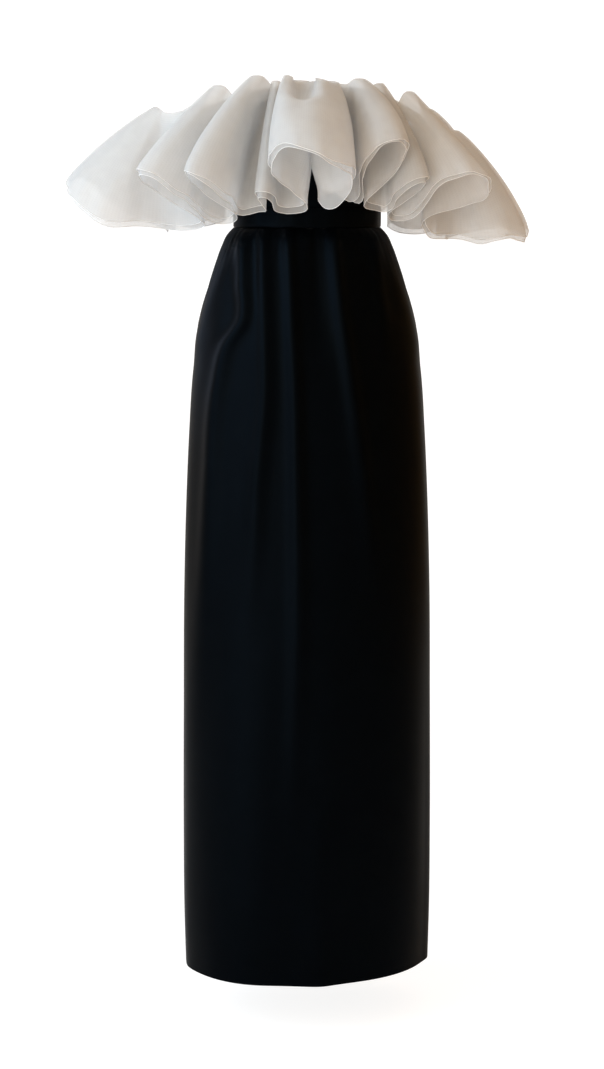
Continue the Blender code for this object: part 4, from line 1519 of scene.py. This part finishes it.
@dataclass
class NeckBinding:
    """Narrow tape inside the top of the frill, which carries it over the arms."""

    height: float = 0.018
    drop: float = 0.004
    columns: int = 720
    rows: int = 7
    soft: float = 0.0004
    stitch_drops: tuple[float, float] = (0.002, 0.016)

    def line(self, angle: Points) -> tuple[Points, Points]:
        """Distance from the axis and top height of the tape at some angles."""
        marks = sorted((flute.valley_neck, flute.valley_neck_z) for flute in FLUTES)
        first = (marks[-1][0] - 360, marks[-1][1])
        last = (marks[0][0] + 360, marks[0][1])
        places, heights = np.array([first, *marks, last], dtype=float).T
        return neckline_reach(angle), np.interp(np.degrees(angle), places, heights) - self.drop

    def build(self, tape: bpy.types.Material) -> None:
        """Make the tape.

        Args:
            tape: Its material.
        """
        angle = round_angles(self.columns) - math.pi
        reach, top = self.line(angle)
        share = np.linspace(0, 1, self.rows)[:, None]
        height = top - self.height * share
        angle = np.broadcast_to(angle, height.shape)
        soft = self.soft * (2 * share - 1) ** 4
        outer = standing(level(angle, reach - soft), height)
        inner = standing(level(angle, reach - CLOTH_WALL + soft), height)
        piece = shell("neck_binding_cloth", outer, inner, laid_out(outer, True), tape, closed=True)
        hand_over(piece, Cloth.TAPE, "neck_binding")

    def stitch(self, tree: PathTree, thread: bpy.types.Material) -> None:
        """Rows of stitches along both edges of the tape's inside.

        Args:
            tree: The tree for a row of stitches.
            thread: The thread's material.
        """
        angle = round_angles(self.columns) - math.pi
        reach, top = self.line(angle)
        spots = level(angle, reach - CLOTH_WALL)
        paths = [(standing(spots, top - drop), True) for drop in self.stitch_drops]
        row = tree.run("binding_stitches", paths, thread, Spacing=0.0034, Half_length=0.0012,
                       Thread_radius=0.00024)
        hand_over(row, Cloth.TAPE)


class Lamp(NamedTuple):
    """A soft square lamp that faces the chest: its place, side, colour and power in watts."""

    name: str
    place: tuple[float, float, float]
    size: float
    colour: tuple[float, float, float]
    power: float


LAMPS = (
    Lamp("key", (-2.9, -1.3, 1.0), 2.6, (0.51, 0.76, 1.0), 80.0),
    Lamp("front", (-1.3, -2.9, 0.5), 2.2, (1.0, 0.80, 0.52), 16.0),
    Lamp("edge", (-1.8, 1.2, 0.3), 1.2, (0.36, 0.60, 1.0), 5.0),
    Lamp("bounce", (-1.7, -2.2, -0.55), 1.6, (0.78, 0.89, 1.0), 16.0),
)


@dataclass
class Studio:
    """Pale floor and backdrop, a warm card, soft lights and the camera."""

    floor: float = -1.205
    bend: float = 1.4
    bend_start: float = 2.6
    half_width: float = 7.0
    near: float = -6.0
    top: float = 6.0
    card_side: float = 1.0
    chest: tuple[float, float, float] = (0.0, 0.0, -0.25)
    camera_x: float = -0.0074
    camera_back: float = 3.30
    camera_height: float = 0.02
    tilt: float = 8.486
    lens: float = 74.81
    sensor: float = 36.0

    def build(self) -> None:
        """Set up everything round the dress."""
        self.sweep()
        self.world()
        self.card()
        for lamp in LAMPS:
            self.lamp(lamp)
        self.camera()

    def sheet(self, name: str, points: list, faces: list, finish: bpy.types.Material) -> bpy.types.Object:
        """A plain sheet from its points and faces."""
        mesh = bpy.data.meshes.new(name)
        mesh.from_pydata(points, [], faces)
        mesh.shade_smooth()
        mesh.materials.append(finish)
        return linked(name, mesh)

    def sweep(self) -> None:
        """Floor that curves up into a plain backdrop. The camera looks through it from behind."""
        turn = np.linspace(0, math.pi / 2, 24)
        wall = self.bend_start + self.bend
        depth = np.concatenate([[self.near], self.bend_start + self.bend * np.sin(turn), [wall]])
        height = np.concatenate([[0.0], self.bend - self.bend * np.cos(turn), [self.top]]) + self.floor
        points = [(x, y, z) for y, z in zip(depth, height) for x in (-self.half_width, self.half_width)]
        faces = [(2 * i, 2 * i + 1, 2 * i + 3, 2 * i + 2) for i in range(len(depth) - 1)]
        material, wires = new_material("pale sweep")
        ray = wires.camera_ray()
        paper = wires.plain("Diffuse", (0.80, 0.80, 0.80))
        shaded = wires.plain("Diffuse", (0.34, 0.34, 0.34))
        glow = wires.take("ShaderNodeEmission", "Emission", Color=(1, 1, 1, 1), Strength=0.86)
        bright = wires.take("ShaderNodeAddShader", "Shader", in_0=shaded, in_1=glow)
        behind = wires.math("MULTIPLY", ray, wires.add("ShaderNodeNewGeometry").outputs["Backfacing"])
        clear = wires.add("ShaderNodeBsdfTransparent").outputs["BSDF"]
        wires.end(wires.mix(behind, wires.mix(ray, paper, bright), clear))
        sweep = self.sheet("sweep", points, faces, material)

    def card(self) -> None:
        """Warm card that shades the wearer's left side. The camera looks through it."""
        corners = ((-1.7, -0.8), (1.0, -0.8), (1.0, 1.3), (-1.7, 1.3))
        points = [(self.card_side, y, z) for y, z in corners]
        material, wires = new_material("warm card")
        board = wires.plain("Diffuse", (0.50, 0.27, 0.10))
        clear = wires.add("ShaderNodeBsdfTransparent").outputs["BSDF"]
        wires.end(wires.mix(wires.camera_ray(), board, clear))
        card = self.sheet("card", points, [(0, 1, 2, 3)], material)

    def world(self) -> None:
        """Dim even light from all round, and a pale ground where the camera sees past the sweep."""
        world = bpy.data.worlds.new("studio")
        world.use_nodes = True
        wires = Wiring(world.node_tree)
        sky, pale = (wires.take("ShaderNodeBackground", "Background", Color=colour, Strength=strength)
                     for colour, strength in (((1.0, 0.86, 0.71, 1), 0.72), ((1.0, 1.0, 1.0, 1), 1.1)))
        wires.end(wires.mix(wires.camera_ray(), sky, pale), "ShaderNodeOutputWorld")
        bpy.context.scene.world = world
        bpy.context.scene.view_settings.view_transform = "Standard"

    def lamp(self, given: Lamp) -> None:
        """Set up a lamp."""
        light = bpy.data.lights.new(given.name, "AREA")
        light.size = given.size
        light.color = given.colour
        light.energy = given.power
        lamp = linked(given.name, light)
        lamp.location = given.place
        towards = np.array(self.chest) - np.array(given.place)
        turn = math.atan2(towards[0], -towards[1])
        down = math.atan2(-towards[2], math.hypot(towards[0], towards[1]))
        lamp.rotation_euler = (math.pi / 2 - down, 0, math.pi + turn)

    def camera(self) -> None:
        """Camera at the photograph's place and angle."""
        data = bpy.data.cameras.new("camera")
        data.lens = self.lens
        data.sensor_width = self.sensor
        data.sensor_fit = "AUTO"
        camera = linked("camera", data)
        camera.location = (self.camera_x, -self.camera_back, self.camera_height)
        camera.rotation_euler = (math.radians(90 - self.tilt), 0, 0)
        bpy.context.scene.camera = camera


def main() -> None:
    """Build every piece in order, then the studio."""
    logging.basicConfig(level=logging.INFO, format="%(message)s", stream=sys.stdout)
    crepe = Crepe().make()
    # The pocket facings get the crepe painted lighter: a painted highlight on the strip beside each
    # pocket mouth.
    facing = Crepe(name="pocket facing crepe", colour=(0.0052, 0.0060, 0.0075),
                   light=(0.0110, 0.0130, 0.0160), roughness=0.6).make()
    organza = Organza().make()
    tape = Tape().make()
    hem_yarn = Twist("white rolled hem", (0.80, 0.79, 0.78)).make()
    white_thread = Twist("white thread", (0.86, 0.85, 0.84)).make()
    black_thread = Twist("black thread", (0.001, 0.0012, 0.0016), sheen=0.0, shine=0.05).make()
    roll = edge_roll_tree()
    row = stitch_tree()
    skirt = Skirt()
    band = Waistband()
    bodice = Bodice()
    binding = NeckBinding()
    band.build(crepe)
    skirt.build(crepe, facing)
    bodice.build(crepe)
    binding.build(tape)
    Frill().build(organza, hem_yarn, roll)
    band.stitch(row, black_thread)
    skirt.stitch(row, black_thread)
    bodice.stitch(row, black_thread)
    binding.stitch(row, white_thread)
    Studio().build()


if __name__ == "__main__":
    main()
